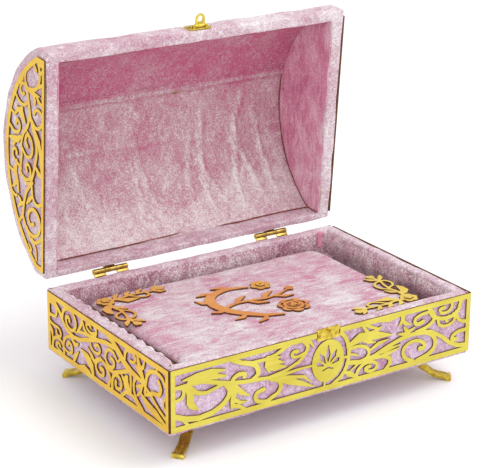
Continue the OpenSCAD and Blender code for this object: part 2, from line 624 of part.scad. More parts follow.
// The left panel's outer face looks along -X, so its drawing runs from the back to the front
module left_panel() {
  translate([-box_w/2, 0, foot_h]) rotate([90, 0, -90]) cut_sheet(fret_t) side_sheet();
}

module fret_left() {
  color(GOLD) base_place() left_panel();
}

module fret_right() {
  color(GOLD) base_place() mirror([1, 0, 0]) left_panel();
}

// ---- Hinges ----

leaf_t = 1.2;
leaf_drop = 14;
leaf_near = 4.2;
third = hinge_w/3;
hinge_screw_r = 0.9;
hinge_screw_x = 10;
hinge_screw_z = 9.5;

// dir is -1 on the base, below the pin, and 1 on the lid, above it
module leaf_screw_spots(side, dir) {
  for (x = [-hinge_screw_x, hinge_screw_x])
    translate([side*hinge_x + x, half_d + leaf_t, rim_z + pin_up + dir*hinge_screw_z])
      rotate([-90, 0, 0]) children();
}

module leaf_screw_holes(side, dir) {
  leaf_screw_spots(side, dir) translate([0, 0, -leaf_t - 4.2])
    cylinder(h = 12, r = hinge_screw_r + 0.05, $fn = 24);
}

// Side outline of a leaf's link from its plate up to the barrel, from the pin's axis
module leaf_link(dir) {
  polygon([[-pin_back, dir*leaf_near], [leaf_t - pin_back, dir*leaf_near],
    [-0.3, dir*2.1], [-1.5, dir*1.5], [-pin_back, dir*(leaf_near - 1.4)]]);
}

module along_pin(x0, x1) {
  translate([x0, pin_y, rim_z + pin_up]) rotate([90, 0, 90]) linear_extrude(x1 - x0) children();
}

// spans lists the stretches of the barrel that this leaf carries
module hinge_leaf(side, dir, spans, bore_r) {
  z = dir < 0 ? [-leaf_drop, -leaf_near + 0.01] : [leaf_near - 0.01, leaf_drop];
  difference() {
    union() {
      block([side*hinge_x - hinge_w/2, side*hinge_x + hinge_w/2], [half_d, half_d + leaf_t],
        [rim_z + pin_up + z[0], rim_z + pin_up + z[1]]);
      for (s = spans) {
        along_pin(side*hinge_x + s[0], side*hinge_x + s[1]) circle(knuckle_r);
        along_pin(side*hinge_x + s[0], side*hinge_x + s[1]) leaf_link(dir);
      }
    }
    along_pin(side*hinge_x - hinge_w, side*hinge_x + hinge_w) circle(bore_r);
    leaf_screw_holes(side, dir);
  }
}

module base_leaf(side) {
  color(BRASS) base_place()
    hinge_leaf(side, -1, [[-hinge_w/2, -third/2 - 0.15], [third/2 + 0.15, hinge_w/2]], pin_r);
}

module lid_leaf(side) {
  color(BRASS) lid_place()
    hinge_leaf(side, 1, [[0.15 - third/2, third/2 - 0.15]], pin_r + pin_play);
}

module hinge_pin(side) {
  color(BRASS) base_place()
    along_pin(side*hinge_x - hinge_w/2 - 0.8, side*hinge_x + hinge_w/2 + 0.8) circle(pin_r);
}

hinge_screw_bite = 3.6;
hinge_screw_head_r = 1.7;
hinge_screw_head_h = 0.6;

module hinge_screws(side, dir) {
  leaf_screw_spots(side, dir)
    screw(leaf_t + hinge_screw_bite, hinge_screw_r, hinge_screw_head_r, hinge_screw_head_h);
}

module hinge_base_screws(side) {
  color(BRASS) base_place() hinge_screws(side, -1);
}

module hinge_lid_screws(side) {
  color(BRASS) lid_place() hinge_screws(side, 1);
}

// ---- Latch ----

catch_screw_x = 8;
catch_screw_r = 0.7;
plate_screw_v = 8.4;

module catch_screw_spots() {
  for (x = [-catch_screw_x, catch_screw_x])
    translate([x, -half_d - latch_t, rim_z - catch_low/2 - 0.5]) rotate([90, 0, 0]) children();
}

module catch_screw_holes() {
  catch_screw_spots() translate([0, 0, -8]) cylinder(h = 14, r = catch_screw_r + 0.05, $fn = 24);
}

// The ornate outline that both latch plates share: a bar with lobes along one edge
module latch_outline(h) {
  translate([-latch_w/2 + 1, 0]) square([latch_w - 2, h - 2]);
  for (x = [-1, -0.5, 0, 0.5, 1]) translate([x*(latch_w/2 - 2.6), h - 2.6]) circle(2.6);
  for (x = [-1, 1]) translate([x*(latch_w/2 - 1.8), 1.8]) circle(1.8);
}

// Plate on the base with the knob that the hasp drops over
module latch_catch() {
  color(GOLD) base_place() difference() {
    union() {
      translate([0, -half_d, rim_z - catch_low]) rotate([90, 0, 0]) linear_extrude(latch_t)
        latch_outline(catch_low + catch_rise);
      translate([0, -half_d, rim_z + lid_gap + hasp_pin_v - hasp_reach]) rotate([90, 0, 0]) {
        cylinder(h = latch_t + knob_out - 1, r = 1.1, $fn = 32);
        translate([0, 0, latch_t + knob_out - knob_head])
          cylinder(h = knob_head, r1 = 1.2, r2 = knob_r, $fn = 32);
      }
    }
    translate([-latch_w, -half_d - catch_clear, rim_z - 0.2]) cube([2*latch_w, 1, 20]);
    catch_screw_holes();
  }
}

module latch_catch_screws() {
  color(BRASS) base_place() catch_screw_spots() screw(latch_t + 4.5, catch_screw_r, 1.3, 0.5);
}

module plate_screw_spots() {
  for (x = [-catch_screw_x, catch_screw_x])
    translate([x, -half_d - latch_t, rim_z + lid_gap + plate_screw_v]) rotate([90, 0, 0]) children();
}

module plate_screw_holes() {
  plate_screw_spots() translate([0, 0, -8]) cylinder(h = 14, r = catch_screw_r + 0.05, $fn = 24);
}

// The hasp pin's axis, in the closed lid
module along_hasp_pin(x0, x1) {
  translate([x0, -half_d - hasp_pin_out, rim_z + lid_gap + hasp_pin_v]) rotate([90, 0, 90])
    linear_extrude(x1 - x0) children();
}

// Plate on the lid's front, with two lugs for the hasp's pin
module latch_plate() {
  lug = [hasp_w/2 + 0.3, hasp_w/2 + 2.6];
  color(GOLD) lid_place() difference() {
    union() {
      translate([0, -half_d, rim_z + lid_gap + hasp_pin_v - 1.6]) rotate([90, 0, 0])
        linear_extrude(latch_t) latch_outline(10.4);
      for (s = [[-lug[1], -lug[0]], lug]) along_hasp_pin(s[0], s[1]) {
        circle(hasp_r, $fn = 32);
        translate([0, -hasp_r]) square([hasp_pin_out - 0.2, 2*hasp_r]);
      }
    }
    along_hasp_pin(-latch_w, latch_w) circle(hasp_pin_r, $fn = 24);
    plate_screw_holes();
  }
}

module latch_pin() {
  color(BRASS) lid_place() along_hasp_pin(-hasp_w/2 - 3, hasp_w/2 + 3) circle(hasp_pin_r, $fn = 24);
}

module latch_plate_screws() {
  color(BRASS) lid_place() plate_screw_spots() screw(latch_t + 4.5, catch_screw_r, 1.3, 0.5);
}

// Loop that swings on the pin; drawn straight out from the lid's front face
module latch_hasp() {
  color(GOLD) lid_place()
    translate([0, -half_d - hasp_pin_out, rim_z + lid_gap + hasp_pin_v]) difference() {
      union() {
        translate([-hasp_w/2, 0, 0]) rotate([0, 90, 0]) cylinder(h = hasp_w, r = hasp_r, $fn = 32);
        translate([0, 0, -hasp_t/2]) linear_extrude(hasp_t) {
          translate([-hasp_w/2, -hasp_len + hasp_w/2]) square([hasp_w, hasp_len - hasp_w/2]);
          translate([0, hasp_w/2 - hasp_len]) circle(hasp_w/2);
        }
      }
      translate([-hasp_w, 0, 0]) rotate([0, 90, 0])
        cylinder(h = 2*hasp_w, r = hasp_pin_r + 0.05, $fn = 24);
      translate([0, -hasp_reach, -hasp_t]) linear_extrude(2*hasp_t) {
        for (s = [-1, 1]) translate([0, s*(slot_y - slot_x)]) circle(slot_x);
        square([2*slot_x, 2*(slot_y - slot_x)], center = true);
      }
    }
}

// ---- Lid ----

// The lid's cross-section, drawn in by r from the arc, f from the front and b from the back
module lid_section(r, f, b, low) {
  intersection() {
    translate([half_d, arc_v]) circle(arc_r - r, $fn = 180);
    translate([b, low]) square([box_d - f - b, lid_h]);
  }
}

// A lid section extruded between two places along X, in box coordinates with the lid closed
module lid_run(x0, x1) {
  translate([x0, half_d, rim_z + lid_gap]) rotate([90, 0, 90]) linear_extrude(x1 - x0)
    mirror([1, 0]) children();
}

end_x = box_w/2 - lid_end_t - velvet_t;
shell_in = velvet_t + shell_t;

module lid_front_wall() {
  color(BOARD) lid_place() difference() {
    lid_run(-end_x, end_x) intersection() {
      lid_section(shell_in, velvet_t, velvet_t, velvet_t);
      translate([box_d - velvet_t - lid_front_t, 0]) square([lid_front_t, lid_h]);
    }
    plate_screw_holes();
  }
}

module lid_back_wall() {
  color(BOARD) lid_place() difference() {
    lid_run(-end_x, end_x) intersection() {
      lid_section(shell_in, velvet_t, velvet_t, velvet_t);
      translate([velvet_t, 0]) square([lid_back_t, lid_h]);
    }
    for (side = [-1, 1]) leaf_screw_holes(side, 1);
  }
}

module lid_end(x0) {
  lid_run(x0, x0 + lid_end_t) lid_section(velvet_t, velvet_t, velvet_t, velvet_t);
}

module lid_end_left() {
  color(BOARD) lid_place() lid_end(-end_x - lid_end_t);
}

module lid_end_right() {
  color(BOARD) lid_place() lid_end(end_x);
}

module lid_shell() {
  color(BOARD) lid_place() difference() {
    lid_run(-end_x, end_x) difference() {
      lid_section(velvet_t, velvet_t, velvet_t, velvet_t);
      translate([half_d, arc_v]) circle(arc_r - shell_in, $fn = 180);
    }
    for (side = [-1, 1]) leaf_screw_holes(side, 1);
    plate_screw_holes();
  }
}

// Velvet over the whole outside of the lid and round its rim
module lid_outer_velvet() {
  color(VELVET) lid_place() difference() {
    lid_run(-box_w/2, box_w/2) lid_section(0, 0, 0, 0);
    lid_run(velvet_t - box_w/2, box_w/2 - velvet_t)
      lid_section(velvet_t, velvet_t, velvet_t, velvet_t);
    block([lid_end_wall - box_w/2, box_w/2 - lid_end_wall],
      [lid_wall_front - half_d, half_d - lid_wall_back],
      [rim_z, rim_z + lid_gap + 2*velvet_t]);
    plate_screw_holes();
    for (side = [-1, 1]) leaf_screw_holes(side, 1);
  }
}

lining_x = end_x - velvet_t;

module lid_lining_vault() {
  color(ROSE) lid_place() lid_run(-lining_x, lining_x) difference() {
    lid_section(shell_in, lid_wall_front, lid_wall_back, velvet_t);
    translate([half_d, arc_v]) circle(arc_r - vault_t, $fn = 180);
  }
}

// Lining of a straight wall: the strip between the wall board and the vault's open side
module wall_lining(u0) {
  lid_run(-lining_x, lining_x) intersection() {
    lid_section(shell_in, velvet_t, velvet_t, velvet_t);
    translate([u0, 0]) square([velvet_t, lid_h]);
  }
}

module lid_lining_front() {
  color(ROSE) lid_place() wall_lining(box_d - lid_wall_front);
}

module lid_lining_back() {
  color(VELVET) lid_place() wall_lining(lid_wall_back - velvet_t);
}

module end_lining(x0) {
  lid_run(x0, x0 + velvet_t)
    lid_section(shell_in, lid_wall_front - velvet_t, lid_wall_back - velvet_t, velvet_t);
}

module lid_lining_left() {
  color(ROSE) lid_place() end_lining(-end_x);
}

module lid_lining_right() {
  color(ROSE) lid_place() end_lining(lining_x);
}

// The end panel's outline: like the lid's own, inset and a little flatter
lid_fret_side = 6;
lid_fret_low = 0.8;
lid_fret_top = lid_h - 9.5;
lid_fret_wall = lid_wall_h - 4;
fret_half = half_d - lid_fret_side;
fret_crown = lid_fret_top - lid_fret_wall;
fret_arc_r = (fret_half*fret_half + fret_crown*fret_crown)/(2*fret_crown);

module lid_fret_outline(in) {
  intersection() {
    translate([half_d, lid_fret_top - fret_arc_r]) circle(fret_arc_r - in, $fn = 120);
    translate([lid_fret_side + in, lid_fret_low + in*0.8])
      square([box_d - 2*lid_fret_side - 2*in, lid_h]);
  }
}

module lid_sheet() {
  stretch = [box_d/lid_grid.x, (lid_h - 10)/lid_grid.y];
  difference() {
    lid_fret_outline(0);
    lid_fret_outline(border_w);
  }
  intersection() {
    lid_fret_outline(1);
    strokes(LID_END, stretch);
  }
}

// The left panel's outer face looks along -X
module lid_left_panel() {
  translate([-box_w/2, half_d, rim_z + lid_gap]) rotate([90, 0, -90])
    cut_sheet(fret_t) lid_sheet();
}

module lid_fret_left() {
  color(GOLD) lid_place() lid_left_panel();
}

module lid_fret_right() {
  color(GOLD) lid_place() mirror([1, 0, 0]) lid_left_panel();
}

// ---- Insert ----

insert_r = 14;
pad_top = rim_z - insert_drop;

module insert_board() {
  color(BOARD) base_place() translate([0, 0, insert_z]) linear_extrude(insert_board_t)
    rounded_rect(insert_w, insert_d, insert_r);
}

module insert_pad() {
  color(VELVET) base_place() translate([0, 0, insert_z + insert_board_t])
    linear_extrude(insert_pad_t) rounded_rect(insert_w, insert_d, insert_r);
}

module petals(n, ring_r, petal_r) {
  for (k = [0 : n - 1]) rotate(k*360/n) translate([ring_r, 0]) circle(petal_r, $fn = 20);
}

// Corner ornament: a rose at the corner, with one leafy arm along +X and one along -Y
CORNER = [
  [[3.4, 2.4, 2.2], [[5, 0], [16, 0], [24, 2], [33, 1], [43, 0], [53, 2]]],
  [[1.6, 8, 1], [[9, -1], [17, -7], [28, -8]]],
  [[2.4, 2.2, 2.8], [[22, 2], [27, -4], [33, -8], [39, -5], [38, 1]]],
  [[2, 4.6, 1], [[9, 0], [12, 6], [17, 9]]],
  [[2, 4.6, 1], [[20, 1], [23, 6], [28, 9]]],
  [[2, 4.4, 1], [[31, 1], [34, 6], [39, 8]]],
  [[2, 4.6, 1], [[45, 0], [49, 5], [53, 9]]],
  [[2, 4.6, 1], [[45, 0], [50, -4], [55, -5]]],
  [[3.4, 2.4, 2.2], [[0, -5], [-1, -15], [1, -24], [0, -33], [-3, -43], [-1, -54]]],
  [[1.6, 7.6, 1], [[0, -9], [-8, -16], [-8, -27]]],
  [[2, 4.8, 1], [[-1, -14], [4, -18], [8, -23]]],
  [[2.4, 2.2, 2.8], [[1, -22], [7, -28], [8, -35], [3, -41], [-3, -42]]],
  [[2.4, 2.2, 2.8], [[1, -26], [-6, -29], [-9, -35], [-7, -41], [-2, -43]]],
  [[2, 4.6, 1], [[-3, -44], [-8, -49], [-11, -54]]],
  [[2, 4.6, 1], [[-3, -44], [3, -48], [7, -53]]]];

module corner_ornament() {
  cut_sheet(ornament_t) {
    strokes(CORNER);
    petals(6, 4.8, 3.4);
    circle(5.5);
    translate([53, 2]) petals(5, 2, 1.8);
    translate([-1, -54]) petals(5, 2, 1.8);
  }
  linear_extrude(ornament_t + 0.9) {
    petals(5, 2.6, 1.5);
    circle(1.6);
  }
}

// The ornament's rose is inset from the insert's corner by the same amount at both corners
rose_in = [12, 20];

module ornament_back_left() {
  color(GOLD) base_place()
    translate([rose_in.x - insert_w/2, insert_d/2 - rose_in.y, pad_top]) corner_ornament();
}

module ornament_front_right() {
  color(PALE_GOLD) base_place()
    translate([insert_w/2 - rose_in.x, rose_in.y - insert_d/2, pad_top])
      rotate([0, 0, 180]) corner_ornament();
}

// Centre motif: a sickle-shaped leafy branch, with a curved sprig across it
BRANCH = [
  [[2.4, 9, 3], [[8, 28], [-8, 33], [-25, 29], [-36, 17], [-36, -1], [-27, -17], [-14, -30],
    [1, -36]]],
  [[2, 5, 1], [[-4, 32], [-12, 38], [-21, 40]]],
  [[2, 5, 1], [[-22, 30], [-32, 33], [-40, 32]]],
  [[2, 5, 1], [[-36, 12], [-43, 17], [-46, 25]]],
  [[2, 5, 1], [[-34, -5], [-41, -6], [-48, -4]]],
  [[2, 5, 1], [[-24, -20], [-31, -25], [-39, -26]]],
  [[2, 4.8, 1], [[-11, -31], [-17, -37], [-25, -40]]],
  [[3.6, 3, 2.2], [[-35, -2], [-20, 3], [-6, 2], [8, -1], [22, 1], [35, 7]]],
  [[2, 5.4, 1], [[-20, 2], [-13, 9], [-4, 13]]],
  [[2, 5.4, 1], [[-9, 2], [-3, -5], [6, -9]]],
  [[2, 5.4, 1], [[5, -1], [12, 6], [21, 10]]],
  [[2, 5, 1], [[16, 0], [24, -5], [32, -6]]]];

module motif_branch() {
  color(COPPER) base_place() translate([0, 0, pad_top]) cut_sheet(ornament_t) {
    strokes(BRANCH);
    translate([37, 8]) petals(5, 2.2, 2);
  }
}

module motif_rosette() {
  color(COPPER) base_place() translate([20, 26, pad_top]) {
    cut_sheet(ornament_t) {
      petals(6, 5.6, 3.6);
      circle(6);
    }
    linear_extrude(ornament_t + 0.9) petals(6, 2.7, 1.7);
  }
}

// Open rose of layered petals, with curved slots between the layers
module motif_bloom() {
  color(COPPER) base_place() translate([19, -25, pad_top]) {
    cut_sheet(ornament_t) difference() {
      union() {
        petals(7, 9, 5);
        circle(10);
      }
      for (k = [0 : 4]) rotate(k*72) stroke([0.6, 1.6, 0.6], [[9, -3], [10, 1], [7.5, 5.5]]);
    }
    linear_extrude(ornament_t + 0.8) difference() {
      circle(5.4, $fn = 40);
      for (k = [0 : 2]) rotate(k*120) stroke([0.5, 1.2, 0.5], [[3.6, -1], [3.4, 1.8], [1, 3.4]]);
    }
  }
}

base_floor();
base_front_wall();
base_back_wall();
base_left_wall();
base_right_wall();
base_outer_velvet();
base_lining();
base_underside_felt();
ledge_front();
ledge_back();
foot(-1, -1);  // foot_front_left
foot(1, -1);  // foot_front_right
foot(-1, 1);  // foot_back_left
foot(1, 1);  // foot_back_right
foot_screws(-1, -1);  // foot_screws_front_left
foot_screws(1, -1);  // foot_screws_front_right
foot_screws(-1, 1);  // foot_screws_back_left
foot_screws(1, 1);  // foot_screws_back_right
fret_front();
fret_left();
fret_right();
latch_catch();
latch_catch_screws();
base_leaf(-1);  // hinge_left_base_leaf
base_leaf(1);  // hinge_right_base_leaf
hinge_pin(-1);  // hinge_left_pin
hinge_pin(1);  // hinge_right_pin
hinge_base_screws(-1);  // hinge_left_base_screws
hinge_base_screws(1);  // hinge_right_base_screws
lid_front_wall();
lid_back_wall();
lid_end_left();
lid_end_right();
lid_shell();
lid_outer_velvet();
lid_lining_vault();
lid_lining_front();
lid_lining_back();
lid_lining_left();
lid_lining_right();
lid_fret_left();
lid_fret_right();
lid_leaf(-1);  // hinge_left_lid_leaf
lid_leaf(1);  // hinge_right_lid_leaf
hinge_lid_screws(-1);  // hinge_left_lid_screws
hinge_lid_screws(1);  // hinge_right_lid_screws
latch_plate();
latch_pin();
latch_plate_screws();
latch_hasp();
insert_board();
insert_pad();
ornament_back_left();
ornament_front_right();
motif_branch();
motif_rosette();
motif_bloom();
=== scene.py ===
"""Velvet jewelry box with a domed lid, cut gilt scrollwork and a padded lift-out insert.

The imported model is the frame. After the camera, each section is one piece of the box, or a
group of like pieces, in the order in which they are put together: boards, velvet, linings,
cut panels, hardware and insert. The floor and the lamps come last.
"""
import json
import math

import bmesh
import bpy
from mathutils import Matrix, Vector, noise


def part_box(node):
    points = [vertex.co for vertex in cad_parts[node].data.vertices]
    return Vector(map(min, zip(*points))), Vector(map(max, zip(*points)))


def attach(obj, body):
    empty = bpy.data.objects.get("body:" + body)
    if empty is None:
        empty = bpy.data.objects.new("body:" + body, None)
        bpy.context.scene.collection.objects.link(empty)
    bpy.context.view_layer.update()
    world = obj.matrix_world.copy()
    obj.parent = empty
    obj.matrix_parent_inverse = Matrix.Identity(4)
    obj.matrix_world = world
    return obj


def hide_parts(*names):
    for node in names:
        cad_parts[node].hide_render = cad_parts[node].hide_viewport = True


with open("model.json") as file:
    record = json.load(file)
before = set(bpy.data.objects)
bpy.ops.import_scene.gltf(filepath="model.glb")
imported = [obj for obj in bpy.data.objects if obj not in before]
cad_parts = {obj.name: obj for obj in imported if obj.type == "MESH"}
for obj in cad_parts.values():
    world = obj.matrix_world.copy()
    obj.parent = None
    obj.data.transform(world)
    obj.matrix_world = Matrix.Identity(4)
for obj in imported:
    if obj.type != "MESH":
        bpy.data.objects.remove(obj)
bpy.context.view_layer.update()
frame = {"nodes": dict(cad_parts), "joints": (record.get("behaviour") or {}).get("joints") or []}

# ---- Camera -------------------------------------------------------------------------------
# A short telephoto view from the front left, a little above the rim. It is first because
# everything else is judged through it.
MM = 0.001

eye = bpy.data.cameras.new("camera")
eye.sensor_width = 36
eye.lens = 133
eye.clip_start, eye.clip_end = 0.05, 20
camera = bpy.data.objects.new("camera", eye)
bpy.context.scene.collection.objects.link(camera)
base_low, base_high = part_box("base_outer_velvet")
middle_y = (base_low.y + base_high.y) / 2
camera_turn, camera_down, camera_roll = -33.74, 20.04, 0.4  # degrees
camera.location = (-777.3 * MM, -1142.7 * MM + middle_y, 632.1 * MM)
camera.rotation_euler = (
    Matrix.Rotation(math.radians(camera_turn), 3, "Z")
    @ Matrix.Rotation(math.radians(90 - camera_down), 3, "X")
    @ Matrix.Rotation(math.radians(camera_roll), 3, "Z")
).to_euler()
bpy.context.scene.camera = camera
bpy.context.scene.view_settings.view_transform = "Standard"

# ---- Boards -------------------------------------------------------------------------------
# Medium-density fibreboard, sawn, glued and pinned. The velvet hides it except inside the
# cut edges, so it stays as the plain boards of the frame: matt, tan, with a short felted grain.


def hex_rgb(code):
    """An sRGB hex colour as the linear numbers a shader takes."""
    parts = [int(code[i : i + 2], 16) / 255 for i in (1, 3, 5)]
    return [c / 12.92 if c <= 0.04045 else ((c + 0.055) / 1.055) ** 2.4 for c in parts] + [1]


def add(tree, kind, settings=None, **sockets):
    """Adds a node. Settings are its own properties, and "stops" are a colour ramp's places and
    hex colours. Sockets are set or linked by name, or by number as i0, i1 and so on."""
    made = tree.nodes.new("ShaderNode" + kind)
    for name, value in (settings or {}).items():
        if name != "stops":
            setattr(made, name, value)
            continue
        bar = made.color_ramp.elements
        while len(bar) < len(value):
            bar.new(0.5)
        for element, (place, code) in zip(bar, value):
            element.position = place
            element.color = hex_rgb(code)
    for name, value in sockets.items():
        numbered = name[0] == "i" and name[1:].isdigit()
        entry = made.inputs[int(name[1:]) if numbered else name.replace("_", " ")]
        if isinstance(value, bpy.types.NodeSocket):
            tree.links.new(value, entry)
        else:
            entry.default_value = value
    return made


def new_material(name):
    """A material with only its output; the caller adds the shader."""
    made = bpy.data.materials.new(name)
    made.use_nodes = True
    made.node_tree.nodes.clear()
    return made, made.node_tree


def finish_material(tree, shader):
    """Joins the finished shader to the material's output."""
    out = tree.nodes.new("ShaderNodeOutputMaterial")
    tree.links.new(shader.outputs[0], out.inputs["Surface"])


def grain(tree, size, detail=2.0, rough=0.5, twist=0.0, stretch=(1, 1, 1), turn=(0, 0, 0)):
    """Noise whose patches are about size metres across, stretched and turned as asked."""
    place = add(tree, "TexCoord").outputs["Object"]
    mapping = add(tree, "Mapping", Vector=place, Rotation=turn, Scale=stretch)
    return add(tree, "TexNoise", Vector=mapping.outputs[0], Scale=1 / size, Detail=detail,
               Roughness=rough, Distortion=twist).outputs[0]


# Fibreboard: pressed wood dust, so it is even and dull, with fibres 2 to 3 mm long
fibreboard, tree = new_material("fibreboard_sawn")
fibres = grain(tree, 2.5 * MM, detail=4, stretch=(0.4, 1, 1))
finish_material(tree, add(
    tree, "BsdfPrincipled", Roughness=0.85,
    Base_Color=add(tree, "ValToRGB", {"stops": ((0.3, "#8A6A45"), (0.7, "#B39367"))},
                   i0=fibres).outputs[0],
    Normal=add(tree, "Bump", Strength=0.3, Distance=0.2 * MM, Height=fibres).outputs[0]))

BOARDS = ["base_floor", "base_front_wall", "base_back_wall", "base_left_wall",
          "base_right_wall", "lid_front_wall", "lid_back_wall", "lid_end_left",
          "lid_end_right", "lid_shell", "insert_board"]


def dress(node, material):
    """A CAD node that keeps its own mesh, with a real material in place of its default."""
    obj = frame["nodes"][node]
    obj.data.materials.clear()
    obj.data.materials.append(material)


for node in BOARDS:
    dress(node, fibreboard)

# ---- Base covering ------------------------------------------------------------------------
# Crushed velvet glued round the base walls, wrapped over the rim and turned under the edge.
# Thin wadding under it makes the rim soft, and the cloth lies in faint waves.


def alone(obj, mode="OBJECT"):
    """Makes obj the only selected and active object, in the mode asked."""
    if bpy.context.object and bpy.context.object.mode != "OBJECT":
        bpy.ops.object.mode_set(mode="OBJECT")
    bpy.ops.object.select_all(action="DESELECT")
    obj.select_set(True)
    bpy.context.view_layer.objects.active = obj
    if mode != "OBJECT":
        bpy.ops.object.mode_set(mode=mode)
    return obj


def pick(obj, kind, test):
    """In edit mode, selects only the faces or the edges that pass test(bmesh item)."""
    sheet = bmesh.from_edit_mesh(obj.data)
    bpy.ops.mesh.select_all(action="DESELECT")
    bpy.ops.mesh.select_mode(type={"faces": "FACE", "edges": "EDGE"}[kind])
    for item in getattr(sheet, kind):
        if test(item):
            item.select_set(True)
    bmesh.update_edit_mesh(obj.data)


def middle(edge):
    """The point halfway along an edge."""
    return (edge.verts[0].co + edge.verts[1].co) / 2


def rise(edge):
    """How far one end of an edge stands above the other."""
    return abs(edge.verts[0].co.z - edge.verts[1].co.z)


def set_in_place(obj):
    """Puts a new piece's place, turn and size into its mesh, so that it sits at the origin."""
    alone(obj)
    bpy.ops.object.transform_apply(location=True, rotation=True, scale=True)


def smooth_below(obj, degrees):
    """Shades obj smooth, and keeps edges sharper than the angle crisp."""
    alone(obj)
    bpy.ops.object.shade_smooth_by_angle(angle=math.radians(degrees))


AXES = ((1, 0, 0), (0, 1, 0), (0, 0, 1))


def cut_grid(obj, step, directions=AXES):
    """Cuts obj into cells about step wide across each direction, so that cloth can wave."""
    alone(obj, "EDIT")
    for direction in map(Vector, directions):
        reach = [v.co.dot(direction) for v in bmesh.from_edit_mesh(obj.data).verts]
        low, high = min(reach), max(reach)
        count = max(1, round((high - low) / step))
        for k in range(1, count):
            bpy.ops.mesh.select_all(action="SELECT")
            bpy.ops.mesh.bisect(plane_co=direction * (low + (high - low) * k / count),
                                plane_no=direction)
    bpy.ops.object.mode_set(mode="OBJECT")


def apply_modifier(obj, kind, **settings):
    """Adds a modifier and applies it at once."""
    alone(obj)
    made = obj.modifiers.new(kind.lower(), kind)
    for name, value in settings.items():
        setattr(made, name, value)
    bpy.ops.object.modifier_apply(modifier=made.name)


def wave_cloth(obj, size, height, seed=0):
    """Moves a cloth skin in and out by up to height, in waves about size across."""
    for v in obj.data.vertices:
        at = Vector(v.co) / size + Vector((seed * 7.3, seed * 3.1, seed * 5.7))
        v.co += v.normal * height * noise.noise(at, noise_basis="PERLIN_ORIGINAL")
    obj.data.update()


def give_cloth_thickness(obj, thickness=0.8 * MM):
    """Cloth has two faces: the seen one stays, and the other lies behind it."""
    apply_modifier(obj, "SOLIDIFY", thickness=thickness, offset=-1, use_rim=True)
    smooth_below(obj, 50)


def finish_piece(obj, name, body, slot, material, *nodes):
    """Names a finished piece, and says its body, material and the nodes it replaces. Its slot is
    not used.
    """
    obj.name = obj.data.name = name
    obj.data.materials.clear()
    obj.data.materials.append(material)
    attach(obj, body)
    if nodes:
        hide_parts(*nodes)
    return obj


def spread(tree, value, gain, plus):
    """Stretches noise about its middle by gain, and adds plus (a number or a socket)."""
    even = add(tree, "Math", {"operation": "SUBTRACT"}, i0=value, i1=0.5)
    return add(tree, "Math", {"operation": "MULTIPLY_ADD"}, i0=even.outputs[0], i1=gain,
               i2=plus).outputs[0]


def crushed_velvet(name, deep, mid, crest, bias=0.5, stretch=(1, 1, 1), turn=(0, 0, 0),
                   speckle=1.0, patchy=1.0, tint=None):
    """Crushed velvet: a short pile pressed flat in patches that face many ways. Patches
    lying away look deep, and those lying towards you look pale and silvery. Single tufts
    are 0.3 mm, and are drawn 1.3 mm wide so that they show. Bias is how pale it is, or the
    name of a mesh attribute that holds it point by point. Tint is a (height, colour) below
    which the pile catches another colour."""
    made, tree = new_material(name)
    patch, crush, crease, tuft = 40 * MM, 9 * MM, 19.8 * MM, 1.3 * MM
    patches = grain(tree, patch, detail=1, twist=0.8)
    crushed = grain(tree, crush, detail=4, rough=0.62, twist=1.5, stretch=stretch, turn=turn)
    creased = grain(tree, crease, detail=2, rough=0.55, twist=2.2, stretch=stretch, turn=turn)
    tufts = grain(tree, tuft, detail=2, rough=0.75)
    height = add(tree, "SeparateXYZ", Vector=add(tree, "TexCoord").outputs["Object"]).outputs[2]
    start = bias
    if isinstance(bias, str):
        start = add(tree, "Attribute", {"attribute_name": bias}).outputs["Fac"]
    # A pale line lies along each crease, where the creased noise crosses its middle
    across = add(tree, "Math", {"operation": "ABSOLUTE"},
                 i0=add(tree, "Math", {"operation": "SUBTRACT"}, i0=creased, i1=0.5).outputs[0])
    line = add(tree, "MapRange", i0=across.outputs[0], i1=0.0, i2=0.03, i3=0.16 * patchy, i4=0.0)
    total = spread(tree, patches, 0.7 * patchy, start)
    total = spread(tree, crushed, 1.0 * patchy, total)
    total = spread(tree, tufts, 1.0 * speckle, total)
    total = add(tree, "Math", {"operation": "ADD"}, i0=total, i1=line.outputs[0]).outputs[0]
    colour = add(tree, "ValToRGB", {"stops": ((0.1, deep), (0.5, mid), (0.9, crest))},
                 i0=total).outputs[0]
    if tint:
        top, shade = tint
        below = add(tree, "MapRange", i0=height, i1=top - 2 * MM, i2=top, i3=0.75, i4=0.0)
        colour = add(tree, "Mix", {"data_type": "RGBA", "blend_type": "MULTIPLY"},
                     Factor=below.outputs[0], i6=colour, i7=hex_rgb(shade)).outputs[2]
    relief = spread(tree, tufts, 0.6, crushed)
    finish_material(tree, add(
        tree, "BsdfPrincipled", Base_Color=colour, Roughness=0.8, Specular_IOR_Level=0.2,
        Sheen_Weight=0.22, Sheen_Roughness=0.35, Sheen_Tint=hex_rgb("#FFF0F4"),
        Normal=add(tree, "Bump", Strength=0.6, Distance=1.0 * MM, Height=relief).outputs[0]))
    return made


pale_velvet = crushed_velvet("crushed_velvet_pale_pink", "#B67E93", "#CFB5BF", "#ECE7EA",
                             speckle=1.5)
base_velvet = crushed_velvet("crushed_velvet_base_pink", "#B67E93", "#D2B9C3", "#F0EBEE",
                             speckle=1.4, tint=(base_high.z - 5 * MM, "#F5E6FC"))
base_size = base_high - base_low
rim_wide, turned_in = 10 * MM, 4 * MM
corner_round, rim_round = 2 * MM, 2.6 * MM
level = 0.01 * MM  # points closer in height than this lie at the same height

